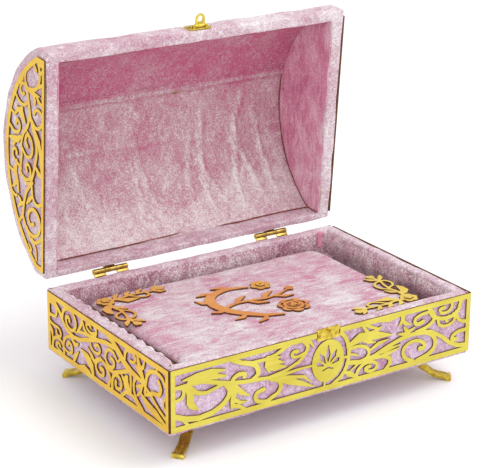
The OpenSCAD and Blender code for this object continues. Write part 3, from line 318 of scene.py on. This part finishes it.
bpy.ops.mesh.primitive_cube_add(size=1, location=(base_low + base_high) / 2, scale=base_size)
base_cover = bpy.context.object
set_in_place(base_cover)
alone(base_cover, "EDIT")
pick(base_cover, "faces", lambda f: abs(f.normal.z) > 0.5)
bpy.ops.mesh.inset(thickness=rim_wide, depth=0)
bpy.ops.mesh.delete(type="FACE")
pick(base_cover, "edges", lambda e: e.is_boundary and middle(e).z > base_high.z - level)
bpy.ops.mesh.extrude_region_move(TRANSFORM_OT_translate={"value": (0, 0, -turned_in)})
pick(base_cover, "edges", lambda e: rise(e) > base_size.z / 2)
bpy.ops.mesh.bevel(offset=corner_round, segments=3, affect="EDGES")
pick(base_cover, "edges", lambda e: not e.is_boundary and middle(e).z > base_high.z - level
     and e.calc_face_angle(0) > 1)
bpy.ops.mesh.bevel(offset=rim_round, segments=3, affect="EDGES")
cut_grid(base_cover, 4 * MM)
wave_cloth(base_cover, 16 * MM, 0.7 * MM, seed=1)
give_cloth_thickness(base_cover)
finish_piece(base_cover, "base_cover", "base", "pale_velvet", base_velvet, "base_outer_velvet")

# The rim cloth is folded under in a mitre at the front left corner, and the fold stays open.
# A thin dark tube there is painted shadow, for the shade inside the open fold.
mitre_painted_shadow, tree = new_material("mitre_fold_shadowed_cloth")
finish_material(tree, add(tree, "BsdfPrincipled", Base_Color=hex_rgb("#6A3A3E"), Roughness=0.9))
rim_corner = Vector((base_low.x + 0.6 * MM, base_low.y + 1.2 * MM, base_high.z - 1.3 * MM))
bpy.ops.mesh.primitive_cylinder_add(
    vertices=12, radius=0.45 * MM, depth=8 * MM,
    location=rim_corner + Vector((2.6 * MM, 3.6 * MM, 0.9 * MM)),
    rotation=(math.radians(-82), 0, math.radians(-36)))
mitre = bpy.context.object
set_in_place(mitre)
smooth_below(mitre, 50)
finish_piece(mitre, "mitre_fold", "base", "pale_velvet", mitre_painted_shadow)

# ---- Tray lining --------------------------------------------------------------------------
# The same velvet, cut in strips and laid loosely down the inside of the walls and across the
# tray's floor. It is held only at the rim, so it bellies out and falls in slanting folds.
tray_velvet = crushed_velvet("crushed_velvet_tray_rose", "#9E6478", "#CFAAB7", "#FAF4F6",
                             bias="nap", stretch=(1, 1, 0.6), speckle=2.0)
lining_low, lining_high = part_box("base_lining")
skin = 1 * MM
tray_low = lining_low + Vector((skin, skin, skin))
tray_high = Vector((lining_high.x - skin, lining_high.y - skin, base_high.z - 1.5 * MM))

bpy.ops.mesh.primitive_cube_add(size=1, location=(tray_low + tray_high) / 2,
                                scale=tray_high - tray_low)
tray_lining = bpy.context.object
set_in_place(tray_lining)
alone(tray_lining, "EDIT")
pick(tray_lining, "faces", lambda f: f.normal.z > 0.5)
bpy.ops.mesh.delete(type="FACE")
bpy.ops.mesh.select_all(action="SELECT")
bpy.ops.mesh.flip_normals()
cut_grid(tray_lining, 3.5 * MM)


def fold(at, start, end, width):
    """How high a fold that runs from start to end stands at a point: a rounded ridge."""
    run = end - start
    t = max(0.0, min(1.0, (at - start).dot(run) / run.length_squared))
    near = (at - start - run * t).length
    return math.exp(-((near / width) ** 2)) * math.sin(math.pi * min(1, 0.12 + t * 0.88)) ** 0.5


def tray_point(wall_name, along, up):
    """A point on the tray's right or back wall: along in mm, up in mm below the rim."""
    z = base_high.z - up * MM
    if wall_name == "right":
        return Vector((tray_high.x, middle_y + along * MM, z))
    return Vector((along * MM, tray_high.y, z))


def smooth_band(value, low, high):
    """0 below low, 1 above high, and a soft step between."""
    t = max(0.0, min(1.0, (value - low) / (high - low)))
    return t * t * (3 - 2 * t)


corner = tray_low.x / MM
TRAY_FOLDS = [  # wall, start (along, below the rim), end, width mm, height mm
    ("right", (-70, 2), (-40, 24), 5, 3.2), ("right", (-38, 3), (-6, 26), 6, 4.2),
    ("right", (-22, 2), (4, 22), 3.5, 2.6), ("right", (2, 4), (30, 24), 7, 3.4),
    ("right", (38, 3), (62, 22), 6, 2.8), ("right", (70, 2), (84, 20), 5, 2.4),
    ("back", (corner, 3), (corner, 24), 7, 2.8),  # upright, in the back left corner
    ("back", (-110, 3), (-80, 20), 7, 1.3), ("back", (-40, 3), (-15, 20), 8, 1.4),
    ("back", (35, 3), (60, 20), 7, 1.3), ("back", (95, 2), (108, 20), 5, 1.2)]

nap = tray_lining.data.attributes.new("nap", "FLOAT", "POINT")
for v in tray_lining.data.vertices:
    at = Vector(v.co)
    lift = 0.0
    facing_left = v.normal.x < -0.5
    # Painted light: the right wall is painted a little paler, and the back wall and floor a
    # little darker, as painted shade.
    nap.data[v.index].value = 0.5 if facing_left else 0.44
    for wall_name, start, end, width, height in TRAY_FOLDS:
        a, b = tray_point(wall_name, *start), tray_point(wall_name, *end)
        lift = max(lift, height * MM * fold(at, a, b, width * MM))
    depth = (base_high.z - at.z) / (20 * MM)
    if at.z > tray_low.z + 2 * MM:
        belly = 1.6 * MM * math.sin(math.pi * min(1, max(0, depth))) ** 2
        sideways = abs(v.normal.x) > 0.5
        if sideways and at.x < 0:
            # On the left the wadding has slipped, and the cloth rolls over to the insert
            roll = (base_high.z - at.z) / MM
            ends = smooth_band(88 - abs(at.y - middle_y) / MM, 2, 16)
            belly += 11 * MM * ends * smooth_band(roll, 0, 12) * (1 - smooth_band(roll, 13, 34))
            lift *= 0.2
            # The roll is painted much paler, as painted light on it.
            nap.data[v.index].value = 0.75
        v.co += v.normal * ((lift + belly) if sideways else 0.5 * (lift + belly))
tray_lining.data.update()
apply_modifier(tray_lining, "SMOOTH", factor=0.5, iterations=3)
wave_cloth(tray_lining, 30 * MM, 0.9 * MM, seed=2)
give_cloth_thickness(tray_lining)
finish_piece(tray_lining, "tray_lining", "base", "rose_velvet", tray_velvet, "base_lining")

# A tuck of the deep pink cloth stands loose in the back right corner, where two strips meet
tuck_pink = crushed_velvet("crushed_velvet_tuck_pink", "#D0608A", "#E893B2", "#F4C3D4",
                           patchy=0.4, speckle=0.5)
bpy.ops.mesh.primitive_cylinder_add(vertices=20, radius=1, depth=1, location=(
    tray_high.x - 9 * MM, tray_high.y - 1.3 * MM, base_high.z - 7.5 * MM))
corner_tuck = bpy.context.object
corner_tuck.scale = (2.6 * MM, 1.6 * MM, 14 * MM)
set_in_place(corner_tuck)
alone(corner_tuck, "EDIT")
pick(corner_tuck, "edges", lambda e: not e.is_boundary and rise(e) < level)
bpy.ops.mesh.bevel(offset=0.8 * MM, segments=3, affect="EDGES")
cut_grid(corner_tuck, 2 * MM, directions=((0, 0, 1),))
wave_cloth(corner_tuck, 6 * MM, 0.9 * MM, seed=12)
alone(corner_tuck)
bpy.ops.object.shade_smooth()
finish_piece(corner_tuck, "corner_tuck", "base", "rose_velvet", tuck_pink)

# ---- Ledges -------------------------------------------------------------------------------
# Two wooden rails wrapped in the pale velvet and glued along the front and back walls. The
# insert rests on them and is lifted off, so their edges are soft and the cloth waves little.


def merged_copy(node):
    """A copy of a CAD node as a mesh of its own, with its loose triangles merged."""
    source = frame["nodes"][node]
    made = bpy.data.objects.new(node + "_copy", source.data.copy())
    bpy.context.scene.collection.objects.link(made)
    made.data.materials.clear()
    for name in [a.name for a in made.data.attributes if a.name.startswith("custom_normal")]:
        made.data.attributes.remove(made.data.attributes[name])
    alone(made, "EDIT")
    bpy.ops.mesh.select_all(action="SELECT")
    bpy.ops.mesh.remove_doubles(threshold=0.004 * MM)
    bpy.ops.mesh.dissolve_limited(angle_limit=math.radians(0.5))
    bpy.ops.object.mode_set(mode="OBJECT")
    return made


for node in ("ledge_front", "ledge_back"):
    ledge = merged_copy(node)
    apply_modifier(ledge, "BEVEL", width=1.6 * MM, segments=3, limit_method="ANGLE")
    cut_grid(ledge, 6 * MM)
    wave_cloth(ledge, 10 * MM, 0.25 * MM, seed=3)
    smooth_below(ledge, 60)
    finish_piece(ledge, node + "_velvet", "base", "pale_velvet", pale_velvet, node)

# ---- Underside ----------------------------------------------------------------------------
# One sheet of thin wool felt, glued over the floor board and the turned-in velvet. Felt is
# matted and has no weave, so it looks dull, with soft clumps and a faint halo of fibre.
felt, tree = new_material("wool_felt_dusty_pink")
matted = grain(tree, 1.5 * MM, detail=6, rough=0.8)
finish_material(tree, add(
    tree, "BsdfPrincipled", Roughness=0.95, Sheen_Weight=0.3,
    Base_Color=add(tree, "ValToRGB", {"stops": ((0.3, "#A9849A"), (0.7, "#C9A9BC"))},
                   i0=matted).outputs[0],
    Normal=add(tree, "Bump", Strength=0.5, Distance=0.4 * MM, Height=matted).outputs[0]))
dress("base_underside_felt", felt)

# ---- Lid covering -------------------------------------------------------------------------
# Crushed velvet over wadding: one length over the vault from rim to rim, with the end
# pieces tucked under its edges, all turned in round the rim.
hinge = next(j for j in frame["joints"] if j["name"] == "lid_hinge")
pin = Vector(hinge["pos_m"])
open_turn = math.radians(abs(hinge["range_deg"][0]))
lid_open = (Matrix.Translation(pin) @ Matrix.Rotation(-open_turn, 4, "X")
            @ Matrix.Translation(-pin))
lid_spin = lid_open.to_3x3()
lid_wide = base_size.x
lid_deep = base_size.y
lid_tall, lid_wall_tall = 77 * MM, 17 * MM
lid_rim_z = base_high.z + 0.6 * MM
lid_back_y = base_high.y
half_deep = lid_deep / 2
lid_crown = lid_tall - lid_wall_tall
vault_radius = (half_deep**2 + lid_crown**2) / (2 * lid_crown)
vault_centre = Vector((0, lid_back_y - half_deep, lid_rim_z + lid_tall - vault_radius))
rim_front, rim_back, rim_end = 9.5 * MM, 6 * MM, 12 * MM


def lid_point(x, u, v):
    """A point of the closed lid: u forward from its back face, v up from its rim."""
    return Vector((x, lid_back_y - u, lid_rim_z + v))


def vault_barrel(radius, long, sides=190):
    """A closed barrel along X on the vault's axis, to be cut down to the vault."""
    bpy.ops.mesh.primitive_cylinder_add(vertices=sides, radius=radius, depth=long,
                                        location=vault_centre, rotation=(0, math.pi / 2, 0))
    made = bpy.context.object
    set_in_place(made)
    return made


def trim(obj, at, away, fill):
    """Cuts off what lies beyond a plane, on the side that away points to."""
    alone(obj, "EDIT")
    bpy.ops.mesh.select_all(action="SELECT")
    bpy.ops.mesh.bisect(plane_co=at, plane_no=away, use_fill=fill, clear_outer=True)
    bpy.ops.object.mode_set(mode="OBJECT")


def open_up(obj):
    """Swings a piece made in the closed lid to where the open lid is."""
    obj.data.transform(lid_open)
    obj.data.update()


lid_cover = vault_barrel(vault_radius, lid_wide)
trim(lid_cover, lid_point(0, 0, 0), (0, 0, -1), True)
trim(lid_cover, lid_point(0, 0, 0), (0, 1, 0), True)
trim(lid_cover, lid_point(0, lid_deep, 0), (0, -1, 0), True)
alone(lid_cover, "EDIT")
pick(lid_cover, "faces", lambda f: f.normal.z < -0.5)
bpy.ops.mesh.inset(thickness=rim_front, depth=0)
bpy.ops.mesh.delete(type="FACE")
opening_y = (lid_point(0, rim_back, 0).y, lid_point(0, lid_deep - rim_front, 0).y)
sheet = bmesh.from_edit_mesh(lid_cover.data)
for v in sheet.verts:
    if v.is_boundary:
        v.co.x = math.copysign(lid_wide / 2 - rim_end, v.co.x)
        v.co.y = opening_y[0] if v.co.y > vault_centre.y else opening_y[1]
bmesh.update_edit_mesh(lid_cover.data)
pick(lid_cover, "edges", lambda e: e.is_boundary)
bpy.ops.mesh.extrude_region_move(TRANSFORM_OT_translate={"value": (0, 0, 3 * MM)})
pick(lid_cover, "edges", lambda e: not e.is_boundary and e.calc_face_angle(0) > 0.9)
bpy.ops.mesh.bevel(offset=2.4 * MM, segments=3, affect="EDGES")
cut_grid(lid_cover, 4 * MM)
lid_cover.data.update()
# The rim is raised a little and then held level, so that it clears the base's rim when shut
for v in lid_cover.data.vertices:
    if v.co.z < lid_rim_z + 0.2 * MM and v.normal.z < -0.9:
        v.co.z += 0.15 * MM
wave_cloth(lid_cover, 22 * MM, 0.9 * MM, seed=4)
for v in lid_cover.data.vertices:
    v.co.z = max(v.co.z, lid_rim_z - 0.1 * MM)
give_cloth_thickness(lid_cover)
open_up(lid_cover)
finish_piece(lid_cover, "lid_cover", "lid", "pale_velvet", pale_velvet, "lid_outer_velvet")

# ---- Lid lining ---------------------------------------------------------------------------
# Rose velvet inside the lid. A front strip is turned under along a fold near the crown, a
# second length runs from there to the back, and two end pieces are glued over its edges.
vault_velvet = crushed_velvet("crushed_velvet_vault_rose", "#BE5A80", "#C6A0AB", "#EAE4E4",
                              bias="nap", stretch=(1, 1, 0.5), patchy=0.7, speckle=1.5)
end_velvet = crushed_velvet("crushed_velvet_end_rose", "#BE5C84", "#DE9CB6", "#F6E0E8",
                            stretch=(1, 1, 0.4), patchy=0.9, speckle=1.1)
cloth = 5 * MM
inner_radius = vault_radius - cloth
inner_half = lid_wide / 2 - rim_end

vault_lining = vault_barrel(inner_radius, 2 * inner_half)
alone(vault_lining, "EDIT")
pick(vault_lining, "faces", lambda f: abs(f.normal.x) > 0.5)
bpy.ops.mesh.delete(type="FACE")
bpy.ops.mesh.select_all(action="SELECT")
bpy.ops.mesh.flip_normals()
trim(vault_lining, lid_point(0, rim_back, 0), (0, 1, 0), False)
trim(vault_lining, lid_point(0, lid_deep - rim_front, 0), (0, -1, 0), False)
trim(vault_lining, vault_centre, (0, 0, -1), False)
cut_grid(vault_lining, 3.0 * MM, directions=((1, 0, 0),))
fold_u = 118 * MM
alone(vault_lining, "EDIT")
for k in range(-6, 11):
    bpy.ops.mesh.select_all(action="SELECT")
    bpy.ops.mesh.bisect(plane_co=lid_point(0, fold_u + k * 0.75 * MM, 0), plane_no=(0, 1, 0))
bpy.ops.object.mode_set(mode="OBJECT")
vault_lining.data.update()
WRINKLES = [  # x, from u, to u, lean in x, width, height: drag lines in the loose lower part
    (-104, 12, 66, 16, 2.2, 1.2), (-70, 10, 90, -18, 2.4, 1.0), (-30, 14, 76, 14, 2.0, 1.3),
    (-8, 10, 104, -20, 2.4, 1.2), (20, 12, 84, 18, 2.2, 1.5), (40, 10, 108, 10, 2.4, 1.6),
    (58, 16, 70, -24, 2.0, 1.3), (72, 10, 112, 18, 2.6, 1.9), (98, 12, 80, -16, 2.2, 1.5),
    (112, 10, 96, -8, 2.4, 1.5)]
nap = vault_lining.data.attributes.new("nap", "FLOAT", "POINT")
for v in vault_lining.data.vertices:
    u = (lid_back_y - v.co.y) / MM
    x = v.co.x / MM
    line = fold_u / MM + 1.5 * noise.noise(Vector((x / 40, 3.3, 1)))
    # The front strip lies 1.6 mm over the back length, and its turned edge is a soft ridge
    over = smooth_band(u, line - 0.7, line + 0.2)
    ridge = math.exp(-(((u - line - 1.8) / 2.0) ** 2))
    tuck = math.exp(-(((u - line + 1.6) / 1.4) ** 2))
    low = (u - rim_back / MM) / 20
    lift = 2.2 * math.exp(-low * low) * max(0, 0.35 + noise.noise(Vector((x / 30, 8, 2))))
    # A faint crease left from the bolt's fold runs the whole length, low in the vault
    bolt = 74 + 3 * noise.noise(Vector((x / 50, 1.7, 9)))
    crease = math.exp(-(((u - bolt) / 1.3) ** 2)) - math.exp(-(((u - bolt + 3) / 1.6) ** 2))
    drag = shade = 0.0
    for at, start, end, lean, width, height in WRINKLES:
        if start < u < end:
            t = (u - start) / (end - start)
            centre = at + lean * t + 2.5 * noise.noise(Vector((u / 22, at, 0)))
            side = (x - centre) / width
            swell = height * math.exp(-side * side) * math.sin(math.pi * t) ** 0.6
            drag = max(drag, swell)
            shade -= 0.30 * side * swell
    v.co += v.normal * MM * (1.6 * over + 1.7 * ridge - 0.9 * tuck + lift + 1.2 * drag
                             + 0.5 * crease)
    # The nap lies away from you above the fold, so it looks deeper there. Low in the vault it is
    # painted paler, partly nap turned towards you and partly painted light. The fold's ridge,
    # the crease's rise and the wrinkles carry painted highlights, the tuck and the crease's dip
    # painted shade, each wrinkle is painted lighter on one side and darker on the other, and the
    # whole is a little darker towards the right.
    sparkle = smooth_band(70 + 22 * noise.noise(Vector((x / 45, u / 60, 6))) - u, 0, 55)
    nap.data[v.index].value = (
        0.48 + 0.20 * sparkle - 0.26 * over + 0.30 * ridge - 0.16 * tuck + 0.08 * drag + shade
        + 0.12 * crease - 0.04 * smooth_band(x, -60, 120))
vault_lining.data.update()
wave_cloth(vault_lining, 20 * MM, 1.2 * MM, seed=5)
wave_cloth(vault_lining, 8 * MM, 0.45 * MM, seed=6)
give_cloth_thickness(vault_lining)
open_up(vault_lining)
finish_piece(vault_lining, "vault_lining", "lid", "rose_velvet", vault_velvet,
             "lid_lining_vault")


def cloth_from(node, facing, step, waves, height, seed):
    """The seen side of a flat lining node as waved cloth. Facing is where its face looks."""
    made = merged_copy(node)
    alone(made, "EDIT")
    pick(made, "faces", lambda f: f.normal.dot(facing) < 0.9)
    bpy.ops.mesh.delete(type="FACE")
    cut_grid(made, step, [lid_spin @ Vector(axis) for axis in AXES])
    made.data.update()
    wave_cloth(made, waves, height, seed)
    give_cloth_thickness(made)
    return made


for node, facing, material, slot in (
    ("lid_lining_front", lid_spin @ Vector((0, 1, 0)), vault_velvet, "rose_velvet"),
    ("lid_lining_back", lid_spin @ Vector((0, -1, 0)), pale_velvet, "pale_velvet"),
    ("lid_lining_left", Vector((1, 0, 0)), end_velvet, "rose_velvet"),
    ("lid_lining_right", Vector((-1, 0, 0)), end_velvet, "rose_velvet"),
):
    lining = cloth_from(node, facing, step=4 * MM, waves=15 * MM, height=0.6 * MM, seed=7)
    # The front strip's velvet reads its nap from here: it lies away from you, and looks deep
    lining.data.attributes.new("nap", "FLOAT", "POINT").data.foreach_set(
        "value", [0.2] * len(lining.data.vertices))
    finish_piece(lining, node + "_cloth", "lid", slot, material, node)

# ---- Seams --------------------------------------------------------------------------------
# Where the lining's edges meet they are glued, and a dark red-brown line of glue and raw cloth
# edge shows along each join. The dark tube is also painted shadow: it stands for the shade in
# the gap at each join, and along the end arcs mostly for that shade. The back one wanders,
# because the vault cloth lifts there.
raw_edge_and_gap_shadow, tree = new_material("raw_cloth_edge_glued")
frayed = grain(tree, 3 * MM, detail=3)
finish_material(tree, add(
    tree, "BsdfPrincipled", Roughness=0.8,
    Base_Color=add(tree, "ValToRGB", {"stops": ((0.35, "#6A2C22"), (0.65, "#A5543C"))},
                   i0=frayed).outputs[0]))


def seam(name, points, thick):
    """A fine welt along a line of points of the closed lid, as a closed tube."""
    line = bpy.data.curves.new(name, "CURVE")
    line.dimensions = "3D"
    line.bevel_depth = thick
    line.bevel_resolution = 2
    line.use_fill_caps = True
    run = line.splines.new("POLY")
    run.points.add(len(points) - 1)
    for point, at in zip(run.points, points):
        point.co = (*at, 1)
    made = bpy.data.objects.new(name, line)
    bpy.context.scene.collection.objects.link(made)
    alone(made)
    bpy.ops.object.convert(target="MESH")
    made = bpy.context.object
    open_up(made)
    bpy.ops.object.shade_smooth()
    finish_piece(made, name, "lid", "rose_velvet", raw_edge_and_gap_shadow)


count = 120
back_v = vault_centre.z - lid_rim_z + math.sqrt(inner_radius**2 - (half_deep - rim_back) ** 2)
across = [(-1 + 2 * k / count) * (inner_half - 0.5 * MM) for k in range(count + 1)]
seam("seam_back", [lid_point(x, rim_back + 0.9 * MM, back_v - 0.6 * MM
     + 3.2 * MM * noise.noise(Vector((x / (38 * MM), 1, 4)))
     + 2.6 * MM * math.exp(-((x / (34 * MM)) ** 2))) for x in across], 0.55 * MM)
seam("seam_front", [lid_point(x, lid_deep - rim_front - 0.5 * MM, 2.6 * MM
     + 0.3 * MM * noise.noise(Vector((x / (30 * MM), 5, 4)))) for x in across], 0.4 * MM)
back_angle = math.acos((half_deep - rim_back) / inner_radius)
front_angle = math.pi - math.acos((half_deep - rim_front) / inner_radius)
arc_radius = inner_radius - 0.9 * MM
for side, name in ((-1, "seam_left"), (1, "seam_right")):
    arc = []
    for k in range(count + 1):
        a = back_angle + (front_angle - back_angle) * k / count
        arc.append(vault_centre + Vector((side * (inner_half - 0.7 * MM),
                                          arc_radius * math.cos(a), arc_radius * math.sin(a))))
    arc.insert(0, lid_point(side * (inner_half - 0.8 * MM), rim_back + 1.2 * MM, 1.2 * MM))
    seam(name, arc, 0.4 * MM)

# ---- Cut panels ---------------------------------------------------------------------------
# Laser-cut fibreboard, 1.4 mm thick, faced with gold film. The beam leaves the cut edges charred
# dark brown, and a hair's width round the face is painted that dark brown: partly char and
# partly painted shadow outline. Glued on over the velvet.


def gilt_film(name, light, dark, rough=0.36, metal=0.8):
    """Gold film: metal, satin, with a faint rolled grain 6 mm long and soft cloudy wear."""
    made, tree = new_material(name)
    cloudy = grain(tree, 24 * MM, detail=3)
    rolled = grain(tree, 6 * MM, detail=3, stretch=(0.25, 0.25, 3))
    both = add(tree, "Math", {"operation": "MULTIPLY_ADD"}, i0=rolled, i1=0.35,
               i2=add(tree, "Math", {"operation": "MULTIPLY"}, i0=cloudy, i1=0.65).outputs[0])
    rough_map = add(tree, "MapRange", i0=both.outputs[0], i1=0.3, i2=0.7, i3=rough - 0.06,
                    i4=rough + 0.1)
    finish_material(tree, add(
        tree, "BsdfPrincipled", Metallic=metal, Roughness=rough_map.outputs[0],
        Base_Color=add(tree, "ValToRGB", {"stops": ((0.32, dark), (0.68, light))},
                       i0=both.outputs[0]).outputs[0],
        Normal=add(tree, "Bump", Strength=0.12, Distance=0.1 * MM, Height=rolled).outputs[0]))
    return made


gold_film = gilt_film("gold_film_warm", "#F4D24C", "#E0AE34")
pale_film = gilt_film("gold_film_pale", "#E4D762", "#CDBC48")
# Charred fibreboard: matt, almost black brown with redder patches along the cut; on the rims
# round the faces it is also painted shadow outline
charred_and_painted_outline, tree = new_material("fibreboard_edge_charred")
burnt = grain(tree, 3 * MM, detail=4)
finish_material(tree, add(
    tree, "BsdfPrincipled", Roughness=0.75,
    Base_Color=add(tree, "ValToRGB", {"stops": ((0.3, "#4B2410"), (0.7, "#7E4A1E"))},
                   i0=burnt).outputs[0]))


def cut_panel(node, body, film, face, rim):
    """A cut sheet: its face keeps the film, its cut edges are charred, and its bevelled rims
    take the char colour, partly as char and partly as painted shadow outline.
    """
    made = merged_copy(node)
    apply_modifier(made, "TRIANGULATE")
    made.data.materials.append(film)
    made.data.materials.append(charred_and_painted_outline)
    apply_modifier(made, "BEVEL", width=rim, segments=1, limit_method="ANGLE",
                   angle_limit=math.radians(50), material=1, use_clamp_overlap=True)
    facing = Vector(face)
    for poly in made.data.polygons:
        poly.material_index = 0 if poly.normal.dot(facing) > 0.94 else 1
    made.name = made.data.name = node + "_cut"
    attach(made, body)
    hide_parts(node)
    return made


hair = 0.4 * MM
cut_panel("fret_front", "base", pale_film, (0, -1, 0), hair)
cut_panel("fret_left", "base", gold_film, (-1, 0, 0), hair)
cut_panel("fret_right", "base", gold_film, (1, 0, 0), hair)
cut_panel("lid_fret_left", "lid", gold_film, (-1, 0, 0), hair)
cut_panel("lid_fret_right", "lid", gold_film, (1, 0, 0), hair)

# ---- Hinges, pins and screws --------------------------------------------------------------
# Stamped brass butt hinges with rolled barrels, steel-cored pins and small round-head screws,
# all brass plated. Edges are rounded by tumbling, so they catch thin lines of light.


def plated_brass(name, light, dark, rough):
    """Plated brass: bright metal with fine cloudy tarnish."""
    made, tree = new_material(name)
    tarnish = grain(tree, 5 * MM, detail=5, rough=0.6)
    finish_material(tree, add(
        tree, "BsdfPrincipled", Metallic=1.0, Roughness=rough,
        Base_Color=add(tree, "ValToRGB", {"stops": ((0.3, dark), (0.65, light))},
                       i0=tarnish).outputs[0],
        Normal=add(tree, "Bump", Strength=0.15, Distance=0.15 * MM, Height=tarnish).outputs[0]))
    return made


brass = plated_brass("brass_plated_hinge", "#D9BC6A", "#9C7A34", 0.24)


def tumbled(node, body, slot, material, width):
    """A small metal piece with its edges rounded."""
    made = merged_copy(node)
    apply_modifier(made, "BEVEL", width=width, segments=2, limit_method="ANGLE",
                   angle_limit=math.radians(35))
    smooth_below(made, 40)
    return finish_piece(made, node + "_metal", body, slot, material, node)


HINGE_PIECES = (("base_leaf", "base", 0.25), ("lid_leaf", "lid", 0.25), ("pin", "base", 0.3),
                ("base_screws", "base", 0.2), ("lid_screws", "lid", 0.2))  # edges in mm
for side in ("left", "right"):
    for piece, body, edge in HINGE_PIECES:
        tumbled(f"hinge_{side}_{piece}", body, "brass", brass, edge * MM)

# ---- Latch --------------------------------------------------------------------------------
# A small die-cast box latch: lobed plate and knob on the base, lobed plate with two lugs and
# a swinging loop on the lid. Bright yellow gilt.
gilt_cast = plated_brass("zinc_casting_gilt", "#EAD45C", "#B08E2A", 0.28)
tumbled("latch_catch", "base", "gilt_casting", gilt_cast, 0.3 * MM)
tumbled("latch_catch_screws", "base", "brass", brass, 0.2 * MM)
tumbled("latch_plate", "lid", "gilt_casting", gilt_cast, 0.3 * MM)
tumbled("latch_pin", "lid", "brass", brass, 0.12 * MM)
tumbled("latch_plate_screws", "lid", "brass", brass, 0.2 * MM)
tumbled("latch_hasp", "hasp", "gilt_casting", gilt_cast, 0.25 * MM)

# ---- Feet ---------------------------------------------------------------------------------
# Four die-cast legs with three flutes, a rolled toe and a screwed pad. Every edge is
# softened a little by the casting and the plating.
for place in ("front_left", "front_right", "back_left", "back_right"):
    tumbled("foot_" + place, "base", "gilt_casting", gilt_cast, 0.35 * MM)
    tumbled("foot_screws_" + place, "base", "brass", brass, 0.25 * MM)

# ---- Insert pad ---------------------------------------------------------------------------
# A thin wadded pad on its board, covered with the pale velvet drawn tight round the edge.
# Cloth simulation under pressure gives the way in which each point of the cover swells, and
# a cap gives how far: the free cover would swell by 14 mm, and the cap stops it at 1.3 mm.
insert_velvet = crushed_velvet("crushed_velvet_insert_pale", "#C87C9A", "#D0B7C0", "#E6E2E3",
                               stretch=(0.35, 1, 1), turn=(0, 0, 0.35), speckle=1.7, patchy=1.5)
pad_low, pad_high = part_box("insert_pad")
pad = merged_copy("insert_pad")
side_in, top_down, swell_cap = 0.7 * MM, 1.2 * MM, 1.3 * MM
for v in pad.data.vertices:
    for axis in (0, 1):
        centre = (pad_low[axis] + pad_high[axis]) / 2
        v.co[axis] -= math.copysign(side_in, v.co[axis] - centre)
    if v.co.z > (pad_low.z + pad_high.z) / 2:
        v.co.z -= top_down
apply_modifier(pad, "REMESH", mode="VOXEL", voxel_size=4 * MM, use_smooth_shade=True)
slack = [Vector(v.co) for v in pad.data.vertices]
alone(pad)
puff = pad.modifiers.new("cloth", "CLOTH")
puff.settings.use_pressure = True
puff.settings.uniform_pressure_force = 4
puff.settings.effector_weights.gravity = 0
puff.settings.tension_stiffness = 25
puff.settings.compression_stiffness = 25
last_frame = 20
puff.point_cache.frame_start, puff.point_cache.frame_end = 1, last_frame
for step in range(1, last_frame + 1):
    bpy.context.scene.frame_set(step)
bpy.ops.object.modifier_apply(modifier=puff.name)
bpy.context.scene.frame_set(1)
for v, start in zip(pad.data.vertices, slack):
    moved = Vector(v.co) - start
    if moved.length > swell_cap:
        moved *= swell_cap / moved.length
    v.co = start + moved
    v.co.z = max(pad_low.z, min(pad_high.z + 0.1 * MM, v.co.z))
pad.data.update()
apply_modifier(pad, "SMOOTH", factor=0.5, iterations=5)
apply_modifier(pad, "SUBSURF", levels=1, render_levels=1)
pad.data.update()
wave_cloth(pad, 26 * MM, 0.35 * MM, seed=9)
alone(pad)
bpy.ops.object.shade_smooth()
finish_piece(pad, "insert_pad_velvet", "insert", "pale_velvet", insert_velvet, "insert_pad")

# ---- Ornaments and motif ------------------------------------------------------------------
# Thin sprays, roses and the centre branch, cut from film-faced sheet like the panels and
# glued to the pad. The back ones are orange gold, the front one yellow, the motif copper.
orange_film = gilt_film("gold_film_orange", "#F4C45C", "#E2A44A", metal=0.25)
yellow_film = gilt_film("gold_film_yellow", "#F2DC58", "#DDB644", metal=0.3)
copper_film = gilt_film("copper_film", "#EDB05E", "#D98A44", metal=0.2)
# Their rims, 0.22 mm wide, take the char colour: partly char, partly painted shadow outline.
fine = 0.22 * MM
cut_panel("ornament_back_left", "insert", orange_film, (0, 0, 1), fine)
cut_panel("ornament_front_right", "insert", yellow_film, (0, 0, 1), fine)
cut_panel("motif_branch", "insert", copper_film, (0, 0, 1), fine)
cut_panel("motif_rosette", "insert", orange_film, (0, 0, 1), fine)
cut_panel("motif_bloom", "insert", copper_film, (0, 0, 1), fine)

# ---- Floor and light ----------------------------------------------------------------------
# A white paper floor under a pale even sky. Two broad soft lamps light it: one high on the
# right, and a weaker one in front on the left.
white, tree = new_material("studio_paper_white")
finish_material(tree, add(tree, "BsdfPrincipled", Base_Color=hex_rgb("#FFFFFF"), Roughness=0.9))
bpy.ops.mesh.primitive_plane_add(size=12, location=(0, 0, 0))
floor = bpy.context.object
floor.name = floor.data.name = "floor"
floor.data.materials.append(white)

sky = bpy.data.worlds.new("studio")
bpy.context.scene.world = sky
sky.use_nodes = True
sky.node_tree.nodes["Background"].inputs[0].default_value = hex_rgb("#FFFFFF")
sky.node_tree.nodes["Background"].inputs[1].default_value = 0.9


def lamp(name, at, aim, size, power):
    """A square soft box, aimed at a point."""
    light = bpy.data.lights.new(name, "AREA")
    light.size = size
    light.energy = power
    made = bpy.data.objects.new(name, light)
    made.location = at
    made.rotation_euler = (Vector(aim) - Vector(at)).to_track_quat("-Z", "Y").to_euler()
    bpy.context.scene.collection.objects.link(made)


lamp("lamp_high", (0.9, -0.5, 1.9), (0, 0, 0.1), 1.6, 17)
lamp("lamp_front", (-1.2, -1.6, 1.0), (0, 0, 0.1), 1.2, 6)
